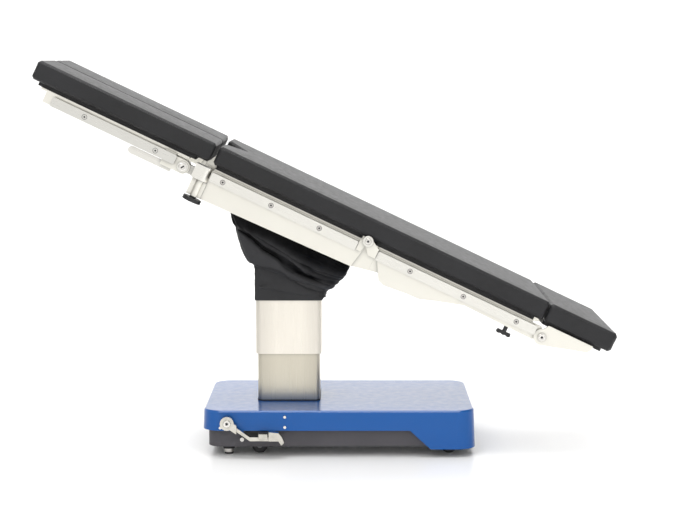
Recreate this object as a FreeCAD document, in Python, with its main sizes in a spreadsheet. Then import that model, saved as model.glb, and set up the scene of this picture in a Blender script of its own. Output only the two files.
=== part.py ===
"""Operating table: a castored base with a foot brake, a telescopic column, a two-axis tilting head
and a sectioned table top (two leg plates, seat, back and head) with padded mattresses.

Row frame: X along the table towards the head end, Y away from the viewer, Z up, millimetres.
The origin is on the floor under the middle of the table. Table pieces are drawn level in a
frame of their own, whose origin is the tilt axis on the column, and are then set at the slope.
"""

import FreeCAD, Part
import math
import os
import re

import Sketcher

DOC = FreeCAD.newDocument("OperatingTable")
SHEET = DOC.addObject("Spreadsheet::Sheet", "Sizes")
SUBPARTS = []
TOUCHING = 1e-4
NEAR = -1
FAR = 1
CORNER_STEPS = 4
SIDES = {"near": NEAR, "far": FAR}

SIZES = (
    ("tilt", 25.5, "slope of the table top at rest, degrees, head end down"),
    ("column_x", -129, "column axis from the middle of the table"),
    ("pivot_height", 700, "tilt axis above the floor"),
    ("foot_reach", 926, "foot end of the top to the tilt axis, along the top"),
    ("deck", 175.5, "top of the pads above the tilt axis"),
    ("pad_wide", 540, "pad width"),
    ("pad_thick", 62, "pad thickness"),
    ("pad_corner", 12, "upright corner radius of the pads"),
    ("board_thick", 12, "board under each pad"),
    ("board_half", 246, "half width of the boards"),
    ("board_inset", 24, "how far the end boards stop short of their pads"),
    ("head_board", 14, "foot end of the head board before the head hinge"),
    ("seat_board_in", 14, "foot edge of the seat board behind the seat pad's"),
    ("seat_board_end", 19, "head edge of the seat board before the back hinge"),
    ("back_board_in", 21, "foot edge of the back board from the back hinge"),
    ("notch_board", 8, "how much deeper the cut-out is in the seat board"),
    ("leg_board_out", 10, "how far the leg boards stay from the pads' inner edges"),
    ("fit_gap", 0.3, "gap left between pieces that move past each other"),
    ("bearing_gap", 0.05, "radial clearance of a pin in its bore"),
    ("leg_length", 606.5, "leg pad length"),
    ("leg_split", 5, "gap between the two leg pads"),
    ("swivel_set", 0.5, "leg swivel axis before the head end of the leg pads"),
    ("swivel", "=leg_length - swivel_set", "leg swivel axis from the foot end"),
    ("hinge_set", 67, "leg drop hinge before the leg swivel axis"),
    ("leg_hinge", "=swivel - hinge_set", "leg drop hinge from the foot end"),
    ("panel_set", 23, "foot end of the seat's side covers past the leg swivel axis"),
    ("panel_start", "=swivel + panel_set", "foot end of the seat's side covers from the foot end"),
    ("leg_notch", 26, "cut-back radius of the inner foot corners"),
    ("leg_gap", 12, "gap between leg pads and seat pad"),
    ("back_hinge", 1159, "back hinge from the foot end"),
    ("back_hinge_drop", 70, "back hinge below the pad tops"),
    ("notch_half", 57, "half width of the folding foam zone at its top"),
    ("notch_low", 7, "half width of the folding foam zone at its foot"),
    ("back_end", 1762, "head end of the back pad from the foot end"),
    ("head_gap", 4, "gap between back pad and head pad"),
    ("head_hinge_set", 22, "head hinge past the head end of the back pad"),
    ("head_hinge", "=back_end + head_hinge_set", "head hinge from the foot end"),
    ("top_length", 2000, "whole length of the table top"),
    ("head_edge_top", 60, "length of the head pad's soft edge at its top"),
    ("head_edge_low", 24, "length of the head pad's soft edge at its foot"),
    ("cut_half", 112, "half width of the perineal cut-out at the seat edge"),
    ("cut_deep", 72, "depth of the perineal cut-out"),
    ("cut_round", 26, "radius at the tip of the cut-out"),
    ("sheet_thick", 6, "steel plate under the boards"),
    ("plate_inner", 250, "inner face of the side plates from the middle"),
    ("plate_outer", 258, "outer face of the side plates from the middle"),
    ("plate_drop", 80, "top edge of the side plates below the pad tops"),
    ("beam_inner", 196, "inner face of the long beams from the middle"),
    ("beam_drop", 111, "underside of the long beams below the pad tops"),
    ("rail_drop", 84, "top of the accessory rails below the pad tops"),
    ("rail_high", 30, "accessory rail height"),
    ("rail_thick", 10, "accessory rail thickness"),
    ("rail_inner", 270, "inner face of the accessory rails from the middle"),
    ("rail_in", 2, "how far the rails' ends stay from the hinges' blocks"),
    ("leg_rail_foot", 88, "foot end of the leg rails"),
    ("leg_rail_set", 29, "head end of the leg rails before the leg drop hinge"),
    ("leg_rail_end", "=leg_hinge - leg_rail_set", "head end of the leg rails from the foot end"),
    ("spacer_round", 9, "radius of the rail spacers"),
    ("screw_round", 7.5, "radius of the rail screw heads"),
    ("screw_deep", 4, "depth of the rail screws' seats"),
    ("screw_sink", 0.3, "how far the rail screw heads lie below the rail's face"),
    ("screw_gap", 0.5, "gap round the rail screw heads in their seats"),
    ("socket_round", 3.2, "radius across the corners of a screw's hex socket"),
    ("hex_deep", 2.4, "depth of a screw's hex socket below the rail's face"),
    ("seat_screw_set", 43, "first screw of the seat rails past the side covers' foot end"),
    ("seat_screw_end", 155, "last screw of the seat rails before the back hinge"),
    ("seat_screw", "=panel_start + seat_screw_set", "first screw of the seat rails from the foot end"),
    ("seat_pitch", "=(back_hinge - seat_screw - seat_screw_end) / 2", "spacing of the seat rails' screws"),
    ("back_screw_set", 159, "first screw of the back rails past the back hinge"),
    ("back_screw_end", 96, "last screw of the back rails before the head hinge"),
    ("back_screw", "=back_hinge + back_screw_set", "first screw of the back rails from the foot end"),
    ("back_pitch", "=(head_hinge - back_screw - back_screw_end) / 2", "spacing of the back rails' screws"),
    ("leg_screw", 201, "first screw of the leg rails from the foot end"),
    ("leg_screw_end", 68, "last screw of the leg rails before their head end"),
    ("leg_pitch", "=leg_rail_end - leg_screw - leg_screw_end", "spacing of the leg rails' screws"),
    ("leg_hinge_drop", 109, "leg drop hinge below the pad tops"),
    ("swivel_out", 257.5, "leg swivel axis from the middle"),
    ("knuckle", 21.5, "radius of the swivel knuckle"),
    ("block_top", 78, "top of the swivel block below the pad tops"),
    ("block_low", 124, "underside of the swivel block below the pad tops"),
    ("bracket_low", 178.5, "underside of the swivel bracket below the pad tops"),
    ("bracket_gap", 2, "gap between the swivel block and its bracket"),
    ("bracket_foot", 26, "reach of the swivel bracket past its axis towards the foot end"),
    ("bracket_out", 262, "outer face of the swivel bracket from the middle"),
    ("bracket_boss", 12.5, "radius of the swivel bracket's boss"),
    ("swivel_gap", 4, "gap between the swivel knuckle and the seat frame"),
    ("panel_gap", 0.5, "gap between the swivel bracket and the side covers"),
    ("riser_long", 12, "length of the riser between bracket and beam"),
    ("seat_short", 29, "end of the seat frame before the back hinge"),
    ("swivel_pin", 7, "radius of the swivel pin"),
    ("trunnion", 10, "radius of the leg drop trunnion"),
    ("tongue_inner", 232, "inner face of the swivel block's tongue from the middle"),
    ("tongue_round", 14, "radius of the swivel block's tongue"),
    ("tongue_gap", 0.5, "gap between the tongue and the leg frame's cheeks"),
    ("cheek_in", 215, "inner face of the leg frame's fork from the middle"),
    ("cheek_round", 22, "radius of the leg frame's cheeks"),
    ("cap_round", 17, "radius of the trunnion's cap"),
    ("cap_proud", 5, "thickness of the trunnion's cap"),
    ("block_long", 32, "reach of the swivel block's body from its axis"),
    ("fork_deep", 69, "root of the leg frame's fork before the leg drop hinge"),
    ("fork_root", "=leg_hinge - fork_deep", "root of the leg frame's fork from the foot end"),
    ("knuckle_room", 34, "room between the fork's bridge and the drop hinge"),
    ("leg_beam_foot", 60, "foot end of the leg beams"),
    ("leg_beam_drop", 114, "underside of the leg beams below the pad tops"),
    ("leg_plate_foot", 40, "foot end of the leg plates"),
    ("leg_plate_end", 6, "head end of the leg plates past the drop hinge"),
    ("leg_plate_inner", 30, "inner edge of the leg plates from the middle"),
    ("leg_board_end", 26, "head end of the leg boards past the drop hinge"),
    ("lever_inner", 236, "inner face of the release lever's ear from the middle"),
    ("lever_ear", 9, "thickness of the release lever's ear"),
    ("ear_half", 10, "half length of the release lever's ear"),
    ("lever_thick", 6, "thickness of the release lever"),
    ("lever_half", 12, "half height of the release lever"),
    ("lever_pin", 4, "radius of the release lever's pin"),
    ("lever_set", 44, "pivot of the release lever before the leg drop hinge"),
    ("lever_pivot", "=leg_hinge - lever_set", "pivot of the release lever from the foot end"),
    ("lever_drop", 131, "pivot of the release lever below the pad tops"),
    ("lever_long", 123, "centre of the release lever's rounded end before its pivot"),
    ("lever_foot", "=lever_pivot - lever_long", "centre of the release lever's rounded end"),
    ("knob_round", 30, "radius of the leg clamp knob"),
    ("knob_thick", 12, "thickness of the leg clamp knob"),
    ("knob_stem", 10, "radius of the leg clamp knob's stem"),
    ("stem_high", 5.5, "height of the leg clamp knob's stem"),
    ("hinge_pin", 7, "radius of the back hinge pin"),
    ("hinge_boss", 17, "radius of the back hinge boss"),
    ("seat_ear", 15, "radius of the seat's ear of the back hinge"),
    ("ear_inner", 270.5, "inner face of the seat's ear from the middle"),
    ("ear_thick", 6, "thickness of the seat's ear"),
    ("ear_gap", 0.5, "gap between the two ears of the back hinge"),
    ("back_ear_thick", 8, "thickness of the back's ear"),
    ("pin_head", 3, "thickness of the back hinge pin's head"),
    ("pin_head_round", 11, "radius of the back hinge pin's head"),
    ("link_low", 110, "underside of the blocks that carry the ears, below the pad tops"),
    ("seat_link", 24, "foot end of the block that carries the seat's ear, before the hinge"),
    ("link_end", 9, "head end of the block that carries the seat's ear, before the hinge"),
    ("panel_top", 7, "end of the side cover's top edge before the back hinge"),
    ("panel_nose", 1, "nose of the side cover before the back hinge"),
    ("panel_end", 15, "end of the side cover's lower edge before the back hinge"),
    ("panel_rise", 11.5, "height of the side cover's cut-back end"),
    ("head_hinge_drop", 110, "head hinge below the pad tops"),
    ("head_pin", 8, "radius of the head hinge pin"),
    ("head_pin_head", 13, "radius of the head hinge pin's head"),
    ("head_pin_proud", 4.5, "thickness of the head hinge pin's head"),
    ("head_gap_side", 0.5, "gap between the back's and the head's side plates"),
    ("head_thick", 8, "thickness of the head's side plates"),
    ("head_plate_at", 16, "foot end of the head's cross plate from the head hinge"),
    ("head_short", 56, "head end of the head frame before the pad's end"),
    ("head_taper", 10, "cut-back of the head side plates' end"),
    ("head_nose_drop", 93, "lower end of the head side plates, below the pad tops"),
    ("head_root_drop", 134, "lower edge of the head side plates at the hinge, below the pad tops"),
    ("head_top_drop", 68, "top edge of the head side plates, below the pad tops"),
    ("head_lug", 26, "radius of the head hinge lug"),
    ("back_lug", 20, "radius of the back plate's lug at the head hinge"),
    ("back_edge_drop", 130, "back plate's lower edge beside the head hinge, below the pad tops"),
    ("back_start", 42, "foot end of the back frame from the back hinge"),
    ("back_short", 44, "head end of the back frame before the head hinge"),
    ("back_link", 18, "foot end of the block that carries the back's ear, from the hinge"),
    ("side_beam", 222, "inner face of the back and leg beams from the middle"),
    ("gusset_start", 34, "foot end of the back's side plates from the hinge"),
    ("gusset_set", 83, "foot end of the gusset's lower edge past the back hinge"),
    ("gusset_nose", "=back_hinge + gusset_set", "foot end of the gusset's lower edge"),
    ("gusset_low", 178, "lower edge of the gusset below the pad tops"),
    ("gusset_step", 8, "rise of the gusset's rounded corners"),
    ("gusset_round", 42, "run of the gusset's rounded corners"),
    ("gusset_long", 141, "length of the gusset's lower edge"),
    ("gusset_tail", "=gusset_nose + gusset_long", "head end of the gusset's lower edge"),
    ("gusset_tail_drop", 169, "gusset's edge there, below the pad tops"),
    ("bend_set", 58, "second bend of the gusset's edge past the first"),
    ("gusset_bend", "=gusset_tail + bend_set", "second bend of the gusset's edge"),
    ("gusset_bend_drop", 149, "second bend of the gusset's edge, below the pad tops"),
    ("end_set", 78, "end of the gusset past its second bend"),
    ("gusset_end", "=gusset_bend + end_set", "end of the gusset"),
    ("gusset_end_drop", 126, "end of the gusset, below the pad tops"),
    ("arm_root", 80, "root of the back's inner arms from the hinge"),
    ("inner_arm", 12, "how far the inner arms reach in from the side plates"),
    ("arm_gap", 0.5, "gap between the inner arms and the seat's side covers"),
    ("knob_block", 14, "half width of the head clamp's threaded block"),
    ("knob_block_low", 128, "underside of the head clamp's threaded block, below the pad tops"),
    ("head_knob_set", 111, "head clamp knob before the head hinge"),
    ("head_knob_at", "=head_hinge - head_knob_set", "head clamp knob from the foot end"),
    ("head_knob_out", 238, "head clamp knob from the middle"),
    ("head_stem", 7, "radius of the head clamp's stem, and half width of its handle"),
    ("tee_half", 22.5, "half length of the head clamp's handle"),
    ("tee_top", 146, "top of the head clamp's handle below the pad tops"),
    ("tee_high", 11, "height of the head clamp's handle"),
    ("cross_pin", 15, "radius of the trunnions of the tilting cross"),
    ("cross_long", 45, "half length of the cross's body along the table"),
    ("cross_wide", 54, "half width of the cross's body"),
    ("cross_high", 32, "half height of the cross's body"),
    ("pin_proud", 2, "how far the cross's trunnions stand out of their lugs"),
    ("lug_inner", 60, "inner face of the slope lugs from the middle"),
    ("lug_outer", 82, "outer face of the slope lugs from the middle"),
    ("lug_round", 34, "outer radius of the slope lugs"),
    ("roll_inner", 62, "inner face of the roll lugs from the tilt axis"),
    ("roll_outer", 86, "outer face of the roll lugs from the tilt axis"),
    ("roll_half", 38, "half width of the roll lugs"),
    ("roll_round", 30, "outer radius of the roll lugs"),
    ("cross_beam", 20, "height of the beams between the seat frame's long beams"),
    ("cover_wide", 215, "upper column cover along the table"),
    ("cover_deep", 210, "upper column cover across the table"),
    ("cover_step", 6.5, "step from the upper to the lower column cover, each side"),
    ("cover_wall", 3, "sheet thickness of the column covers"),
    ("cover_corner", 20, "upright corner radius of the upper column cover"),
    ("lower_corner", 18, "upright corner radius of the lower column cover"),
    ("tube_end", 1, "overrun of the cuts that open the column's tubes"),
    ("gasket_wide", 1.5, "how far the gasket stands out from the lower cover"),
    ("gasket_wall", 6, "width of the gasket's ring"),
    ("cover_edge", 307, "lower edge of the upper column cover above the floor"),
    ("head_plate", 603, "underside of the column head plate above the floor"),
    ("head_plate_thick", 12, "column head plate thickness"),
    ("lower_top", 480, "top of the lower column cover above the floor"),
    ("gasket_high", 4, "height of the gasket at the column's foot"),
    ("ram_round", 30, "radius of the lift rod"),
    ("barrel_round", 48, "outer radius of the lift cylinder"),
    ("barrel_top", 470, "top of the lift cylinder above the floor"),
    ("barrel_floor", 12, "floor of the lift cylinder"),
    ("rod_foot", 285, "foot of the lift rod above the floor"),
    ("bellows_wall", 4, "wall of the bellows, folds included"),
    ("hem_gap", 0.3, "gap between the bellows' hem and the upper cover"),
    ("hem_height", 483, "hem of the bellows above the floor"),
    ("neck_height", 545, "middle of the bellows' neck above the floor"),
    ("waist_at", 49, "middle of the bellows' waist from the tilt axis, along the top"),
    ("waist_drop", 113, "waist of the bellows below the tilt axis, square to the top"),
    ("waist_long", 154, "half length of the bellows' waist"),
    ("waist_deep", 132, "half width of the bellows' waist"),
    ("waist_corner", 36, "corner radius of the bellows' waist"),
    ("swell_at", 15, "middle of the bellows' widest ring from the tilt axis, along the top"),
    ("swell_drop", 45, "widest ring of the bellows below the tilt axis, square to the top"),
    ("swell_long", 206, "half length of the bellows' widest ring"),
    ("swell_deep", 214, "half width of the bellows' widest ring"),
    ("swell_corner", 34, "corner radius of the bellows' widest ring"),
    ("rim_at", 11, "middle of the bellows' rim from the tilt axis, along the top"),
    ("rim_drop", -1, "rim of the bellows below the tilt axis, square to the top"),
    ("rim_long", 206, "half length of the bellows' rim"),
    ("rim_deep", 236, "half width of the bellows' rim"),
    ("rim_corner", 30, "corner radius of the bellows' rim"),
    ("base_left", -397, "foot end of the base from the middle of the table"),
    ("base_long", 864, "base length"),
    ("base_deep", 510, "base width"),
    ("base_top", 151, "top of the base above the floor"),
    ("base_round", 55, "corner radius of the base in plan"),
    ("base_edge", 5, "bevel of the base cover's top edge"),
    ("base_wall", 4, "base cover wall"),
    ("cover_screw_round", 4.5, "radius of the base cover's screw heads"),
    ("cover_screw_thick", 4.5, "thickness of the base cover's screw heads"),
    ("cover_screw_sink", 1, "how far the cover's screw seats lie inside its top outline"),
    ("cover_screw_at", -137, "pair of cover screws from the middle of the table"),
    ("cover_screw_high", 131, "upper cover screw above the floor"),
    ("cover_screw_low", 98, "lower cover screw above the floor"),
    ("end_screw_at", -342, "third cover screw from the middle of the table"),
    ("end_screw_height", 96, "third cover screw above the floor"),
    ("base_flare", 5, "how far the base cover's walls lean out at their foot"),
    ("band_low", 87, "lower edge of the cover along the sides, above the floor"),
    ("end_low", 27, "lower edge of the cover at the head end, above the floor"),
    ("bay_top", 261, "head end of the side bay at its top edge"),
    ("bay_foot", 331, "head end of the side bay at the cover's lower edge"),
    ("skirt_inset", 15, "skirt set in from the cover's upper outline"),
    ("skirt_wall", 3, "skirt wall"),
    ("skirt_low", 32, "lower edge of the skirt above the floor"),
    ("chassis_low", 62, "underside of the chassis plate above the floor"),
    ("chassis_thick", 20, "chassis plate thickness"),
    ("pedestal_half", 84, "half width of the column pedestal"),
    ("pedestal_gap", 4, "clearance of the base cover round the pedestal"),
    ("shaft_gap", 4, "clearance of the base cover and skirt round the brake shaft"),
    ("shaft_x", -319, "brake shaft from the middle of the table"),
    ("shaft_height", 115, "brake shaft above the floor"),
    ("shaft_round", 9, "brake shaft radius"),
    ("bush_wall", 2, "wall of the brake shaft's bushes"),
    ("bearing_inner", 212, "inner face of the shaft's bearing blocks from the middle"),
    ("bearing_wide", 16, "width of the shaft's bearing blocks"),
    ("bearing_half", 18, "half length of the bearing blocks along the base, and their reach above the shaft"),
    ("foot_out", 195, "brake foot from the middle"),
    ("foot_round", 14.5, "brake foot stem radius"),
    ("foot_collar", 19, "brake foot collar radius"),
    ("collar_low", 18, "underside of the brake foot's collar above the floor"),
    ("collar_high", 14, "height of the brake foot's collar"),
    ("cam_round", 22, "cam radius"),
    ("cam_throw", 11.5, "cam centre from the shaft axis"),
    ("cam_lead", 12.5, "how far below level the cam's throw points at rest, degrees"),
    ("cam_wide", 14, "cam width"),
    ("pedal_inner", 259.5, "inner face of the pedal from the middle"),
    ("pedal_outer", 285, "outer face of the pedal from the middle"),
    ("arm_inset", 3, "how far the pedal's arm is narrower than its hub, each side"),
    ("hub_round", 22, "pedal hub radius"),
    ("clevis_half", 14, "half height of the pedal's clevis block"),
    ("arm_half", 6.2, "half height of the pedal's arm"),
    ("crank_reach", 30, "end of the pedal's clevis from the shaft"),
    ("crank_drop", 20, "end of the pedal's clevis below the shaft"),
    ("arm_reach", 72, "where the pedal's arm turns level, from the shaft"),
    ("toe_start", 132, "start of the toe plate from the shaft"),
    ("toe_reach", 181, "tip of the toe plate from the shaft"),
    ("toe_top", 27, "top of the toe plate below the shaft"),
    ("toe_drop", 70, "tip of the toe plate below the shaft"),
    ("toe_tip", 9, "length of the toe plate's bent tip"),
    ("arm_drop", 50, "level stretch of the pedal's arm below the shaft"),
    ("tread_at", 100, "tread block from the shaft"),
    ("tread_long", 28, "tread block length"),
    ("tread_high", 17, "tread block top above the middle of the arm"),
    ("stop_round", 6.5, "pedal stop pin radius"),
    ("stop_long", 16, "pedal stop pin length"),
    ("stop_at", -273, "pedal stop pin from the middle of the table"),
    ("stop_height", 58, "pedal stop pin above the floor"),
    ("castor_left", -235, "foot-end castor swivels from the middle of the table"),
    ("castor_right", 374, "head-end castor swivels from the middle of the table"),
    ("castor_out", 185, "castor swivels from the middle"),
    ("castor_trail", 15, "castor wheel axle behind its swivel"),
    ("wheel_round", 25, "castor wheel radius"),
    ("wheel_wide", 20, "castor wheel width"),
    ("axle_round", 4, "castor axle radius"),
    ("tyre_edge", 4, "bevel of the castor wheels' edges"),
    ("cheek_gap", 1, "gap between a castor wheel and its fork"),
    ("cheek_thick", 3, "thickness of the castor fork's cheeks"),
    ("cheek_half", 8, "half width of the castor fork's cheeks at the axle"),
    ("crown_round", 21, "radius of the castor fork's crown"),
    ("crown_low", 54, "underside of the castor fork's crown above the floor"),
    ("stem_round", 7, "castor stem radius"),
    ("stem_gap", 0.3, "gap above the castor stem in its socket"),
    ("socket_deep", 16, "depth of the castor stem sockets in the chassis"),
)


def fill_sheet():
    """One row per size: its name, its value or formula, and what it is."""
    for row, (name, value, note) in enumerate(SIZES, start=1):
        SHEET.set("A%d" % row, name)
        SHEET.set("B%d" % row, str(value))
        SHEET.setAlias("B%d" % row, name)
        SHEET.set("C%d" % row, note)
    DOC.recompute()


def tied(text):
    """An expression in which each size's name points at its cell of the sheet."""
    return re.sub(r"\b[a-z]\w*\b(?!\()", lambda found: "Sizes." + found.group(), str(text))


def bind(thing, **properties):
    """Bind properties of an object to expressions over the sheet."""
    for name, text in properties.items():
        thing.setExpression(name, tied(text))


def at(thing, x, y, z):
    """Bind an object's position."""
    for axis, text in zip("xyz", (x, y, z)):
        thing.setExpression("Placement.Base." + axis, tied(text))
    return thing


def across(side, inner, outer):
    """The lowest and highest Y of a piece between two distances from the middle, on one side."""
    if side == FAR:
        return inner, outer
    return "-(%s)" % outer, "-(%s)" % inner


def box(x_span, y_span, z_span):
    """A block between two limits on each axis."""
    block = DOC.addObject("Part::Box", "Block")
    lengths = ["(%s) - (%s)" % (high, low) for low, high in (x_span, y_span, z_span)]
    bind(block, Length=lengths[0], Width=lengths[1], Height=lengths[2])
    return at(block, x_span[0], y_span[0], z_span[0])


def rod_z(radius, x, y, z_span):
    """An upright cylinder."""
    rod = DOC.addObject("Part::Cylinder", "RodZ")
    bind(rod, Radius=radius, Height="(%s) - (%s)" % (z_span[1], z_span[0]))
    return at(rod, x, y, z_span[0])


def rod_y(radius, x, z, y_span):
    """A cylinder across the table."""
    rod = DOC.addObject("Part::Cylinder", "RodY")
    bind(rod, Radius=radius, Height="(%s) - (%s)" % (y_span[1], y_span[0]))
    rod.Placement.Rotation = FreeCAD.Rotation(FreeCAD.Vector(1, 0, 0), -90)
    return at(rod, x, y_span[0], z)


def rod_x(radius, y, z, x_span):
    """A cylinder along the table."""
    rod = DOC.addObject("Part::Cylinder", "RodX")
    bind(rod, Radius=radius, Height="(%s) - (%s)" % (x_span[1], x_span[0]))
    rod.Placement.Rotation = FreeCAD.Rotation(FreeCAD.Vector(0, 1, 0), 90)
    return at(rod, x_span[0], y, z)


def fuse(*pieces):
    """One solid from pieces that overlap or meet."""
    joined = DOC.addObject("Part::MultiFuse", "Joined")
    joined.Shapes = list(pieces)
    joined.Refine = True
    return joined


def cut(body, *tools):
    """A piece with one or more tools taken away."""
    result = DOC.addObject("Part::Cut", "Trimmed")
    result.Base = body
    result.Tool = tools[0] if len(tools) == 1 else fuse(*tools)
    result.Refine = True
    return result


def group(pieces):
    """Separate solids that share one node."""
    result = DOC.addObject("Part::Compound", "Set")
    result.Links = pieces
    return result


def outline(body, plane, offset, points):
    """A closed outline of straight lines; a corner is its two places and, where it is rounded, a radius."""
    sketch = body.newObject("Sketcher::SketchObject", "Outline")
    planes = {feature.Role: feature for feature in body.Origin.OriginFeatures}
    sketch.AttachmentSupport = [(planes[plane], "")]
    sketch.MapMode = "FlatFace"
    bind(sketch, **{"AttachmentOffset.Base.z": offset})
    count = len(points)
    turn = 2 * math.pi / count
    start_radius = 100.0
    rough = [
        FreeCAD.Vector(start_radius * math.cos(turn * i), start_radius * math.sin(turn * i), 0)
        for i in range(count)
    ]
    for i in range(count):
        sketch.addGeometry(Part.LineSegment(rough[i], rough[(i + 1) % count]))
    for i in range(count):
        sketch.addConstraint(Sketcher.Constraint("Coincident", i, 2, (i + 1) % count, 1))
    for i, corner in enumerate(points):
        for kind, text, begin in zip(("DistanceX", "DistanceY"), corner, (rough[i].x, rough[i].y)):
            index = sketch.addConstraint(Sketcher.Constraint(kind, -1, 1, i, 1, begin))
            sketch.setExpression("Constraints[%d]" % index, tied(text))
    return sketch


def extruded(plane, points, offset, length):
    """A PartDesign body: an outline padded along its plane's normal, with rounded upright corners."""
    body = DOC.addObject("PartDesign::Body", "Body")
    sketch = outline(body, plane, offset, points)
    pad = body.newObject("PartDesign::Pad", "Pad")
    pad.Profile = sketch
    bind(pad, Length=length)
    sketch.Visibility = False
    DOC.recompute()
    round_corners(body, pad, sketch, points)
    return body


def round_corners(body, pad, sketch, points):
    """Round the edges that rise from those corners of the outline that have a radius."""
    radii = {}
    for number, corner in enumerate(points):
        for radius in corner[2:]:
            radii.setdefault(radius, []).append(number)
    feature = pad
    normal = sketch.Placement.Rotation.multVec(FreeCAD.Vector(0, 0, 1))
    for radius, corners in radii.items():
        names = []
        for corner in corners:
            place = sketch.Placement.multVec(sketch.Geometry[corner].StartPoint)
            names.append(edge_at(feature.Shape, place, normal))
        rounding = body.newObject("PartDesign::Fillet", "Rounding")
        rounding.Base = (feature, names)
        bind(rounding, Radius=radius)
        DOC.recompute()
        feature = rounding


def edge_at(shape, place, normal):
    """The name of the edge that rises most along the extrusion from a corner of the outline."""
    best = (0.0, "")
    for number, edge in enumerate(shape.Edges, start=1):
        ends = [vertex.Point for vertex in edge.Vertexes]
        if len(ends) == 2 and min(end.distanceToPoint(place) for end in ends) < TOUCHING:
            run = ends[1] - ends[0]
            best = max(best, (abs(run.dot(normal)) / run.Length, "Edge%d" % number))
    return best[1]


def lean(body, angle):
    """Lean a body's walls inwards as they rise; they keep their places at floor level."""
    last = body.Group[-1]
    walls = [
        "Face%d" % number
        for number, face in enumerate(last.Shape.Faces, start=1)
        if face.BoundBox.ZLength > TOUCHING
    ]
    planes = {feature.Role: feature for feature in body.Origin.OriginFeatures}
    draft = body.newObject("PartDesign::Draft", "Lean")
    draft.Base = (last, walls)
    draft.NeutralPlane = (planes["XY_Plane"], [""])
    bind(draft, Angle=angle)
    DOC.recompute()
    return body


def plate(points, y_span):
    """A side view outline (along the table, height) with a thickness across the table."""
    low, high = y_span
    return extruded("XZ_Plane", points, "-(%s)" % high, "(%s) - (%s)" % (high, low))


def slab(points, z_span):
    """A plan outline with a height."""
    low, high = z_span
    return extruded("XY_Plane", points, low, "(%s) - (%s)" % (high, low))


def rectangle(x_span, y_span, *radius):
    """Corner points of a rectangle, all with the same radius if one is given."""
    (left, right), (low, high) = x_span, y_span
    return [(x, y, *radius) for x, y in ((left, low), (right, low), (right, high), (left, high))]


def along(text):
    """Distance from the foot end of the table top, in the table's own frame."""
    return "(%s) - foot_reach" % text


def down(text):
    """Depth below the pad tops, in the table's own frame."""
    return "deck - (%s)" % text


def depths(top, low):
    """The Z limits of a piece between two depths below the pad tops."""
    return down(low), down(top)


def spans(start, end):
    """The X limits of a piece between two distances from the foot end."""
    return along(start), along(end)


def spot(distance, depth, *radius):
    """A side view point from its distance along the table and its depth below the pad tops."""
    return (along(distance), down(depth), *radius)


def keep(name, piece):
    """Name a sub-part that stands on the floor frame."""
    piece.Label = name
    SUBPARTS.append(piece)


def keep_on_table(name, piece):
    """Name a sub-part of the table top and set it at the slope of the table."""
    piece.Placement = FreeCAD.Placement(
        FreeCAD.Vector(0, 0, 0), FreeCAD.Rotation(FreeCAD.Vector(0, 1, 0), 1)
    )
    bind(
        piece,
        **{
            "Placement.Base.x": "column_x",
            "Placement.Base.z": "pivot_height",
            "Placement.Rotation.Angle": "tilt",
        }
    )
    keep(name, piece)


PAD = ("0", "pad_thick")
BOARD = ("pad_thick", "pad_thick + board_thick")
SHEET_METAL = ("pad_thick + board_thick", "pad_thick + board_thick + sheet_thick")


def middle(half):
    """Y limits of a piece that spans both sides."""
    return "-(%s)" % half, "%s" % half


RAIL_FACE = "(rail_inner + rail_thick)"
RAIL_MIDDLE = "rail_drop + rail_high / 2"


def screws(side, places):
    """Socket screws that hold a rail, sunk a little below its face so that clamps slide over them."""
    made = []
    for place in places:
        x, z = spot(place, RAIL_MIDDLE)
        head_y = across(side, RAIL_FACE + " - screw_deep", RAIL_FACE + " - screw_sink")
        head = rod_y("screw_round", x, z, head_y)
        socket = DOC.addObject("Part::Prism", "Socket")
        socket.Polygon = 6
        bind(socket, Circumradius="socket_round", Height="2 * hex_deep")
        socket.Placement.Rotation = FreeCAD.Rotation(FreeCAD.Vector(1, 0, 0), -90)
        at(socket, x, across(side, RAIL_FACE + " - hex_deep", RAIL_FACE + " + hex_deep")[0], z)
        made.append(cut(head, socket))
    return made


def rail(side, start, end, places):
    """A flat accessory rail with rounded ends, its spacers and the seats of its screws."""
    bar = plate(
        [
            spot(start, "rail_drop", "rail_thick / 2"),
            spot(end, "rail_drop", "rail_thick / 2"),
            spot(end, "rail_drop + rail_high", "rail_thick / 2"),
            spot(start, "rail_drop + rail_high", "rail_thick / 2"),
        ],
        across(side, "rail_inner", RAIL_FACE),
    )
    posts = []
    seats = []
    for place in places:
        x, z = spot(place, RAIL_MIDDLE)
        posts.append(rod_y("spacer_round", x, z, across(side, "plate_outer", "rail_inner")))
        seat = across(side, RAIL_FACE + " - screw_deep", RAIL_FACE + " + screw_deep")
        seats.append(rod_y("screw_round + screw_gap", x, z, seat))
    return cut(fuse(bar, *posts), *seats)


RIGHT = "base_left + base_long"
SKIRT_TOP = "base_top - base_wall - fit_gap"
CHASSIS = ("chassis_low", "chassis_low + chassis_thick")
COVER_SCREWS = (
    ("cover_screw_at", "cover_screw_high"),
    ("cover_screw_at", "cover_screw_low"),
    ("end_screw_at", "end_screw_height"),
)


def base_outline(inset):
    """Plan rectangle of the base, set in from the cover's top outline, with its corners rounded to suit."""
    return rectangle(
        ("base_left + (%s)" % inset, RIGHT + " - (%s)" % inset),
        middle("base_deep / 2 - (%s)" % inset),
        "base_round - (%s)" % inset,
    )


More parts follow.
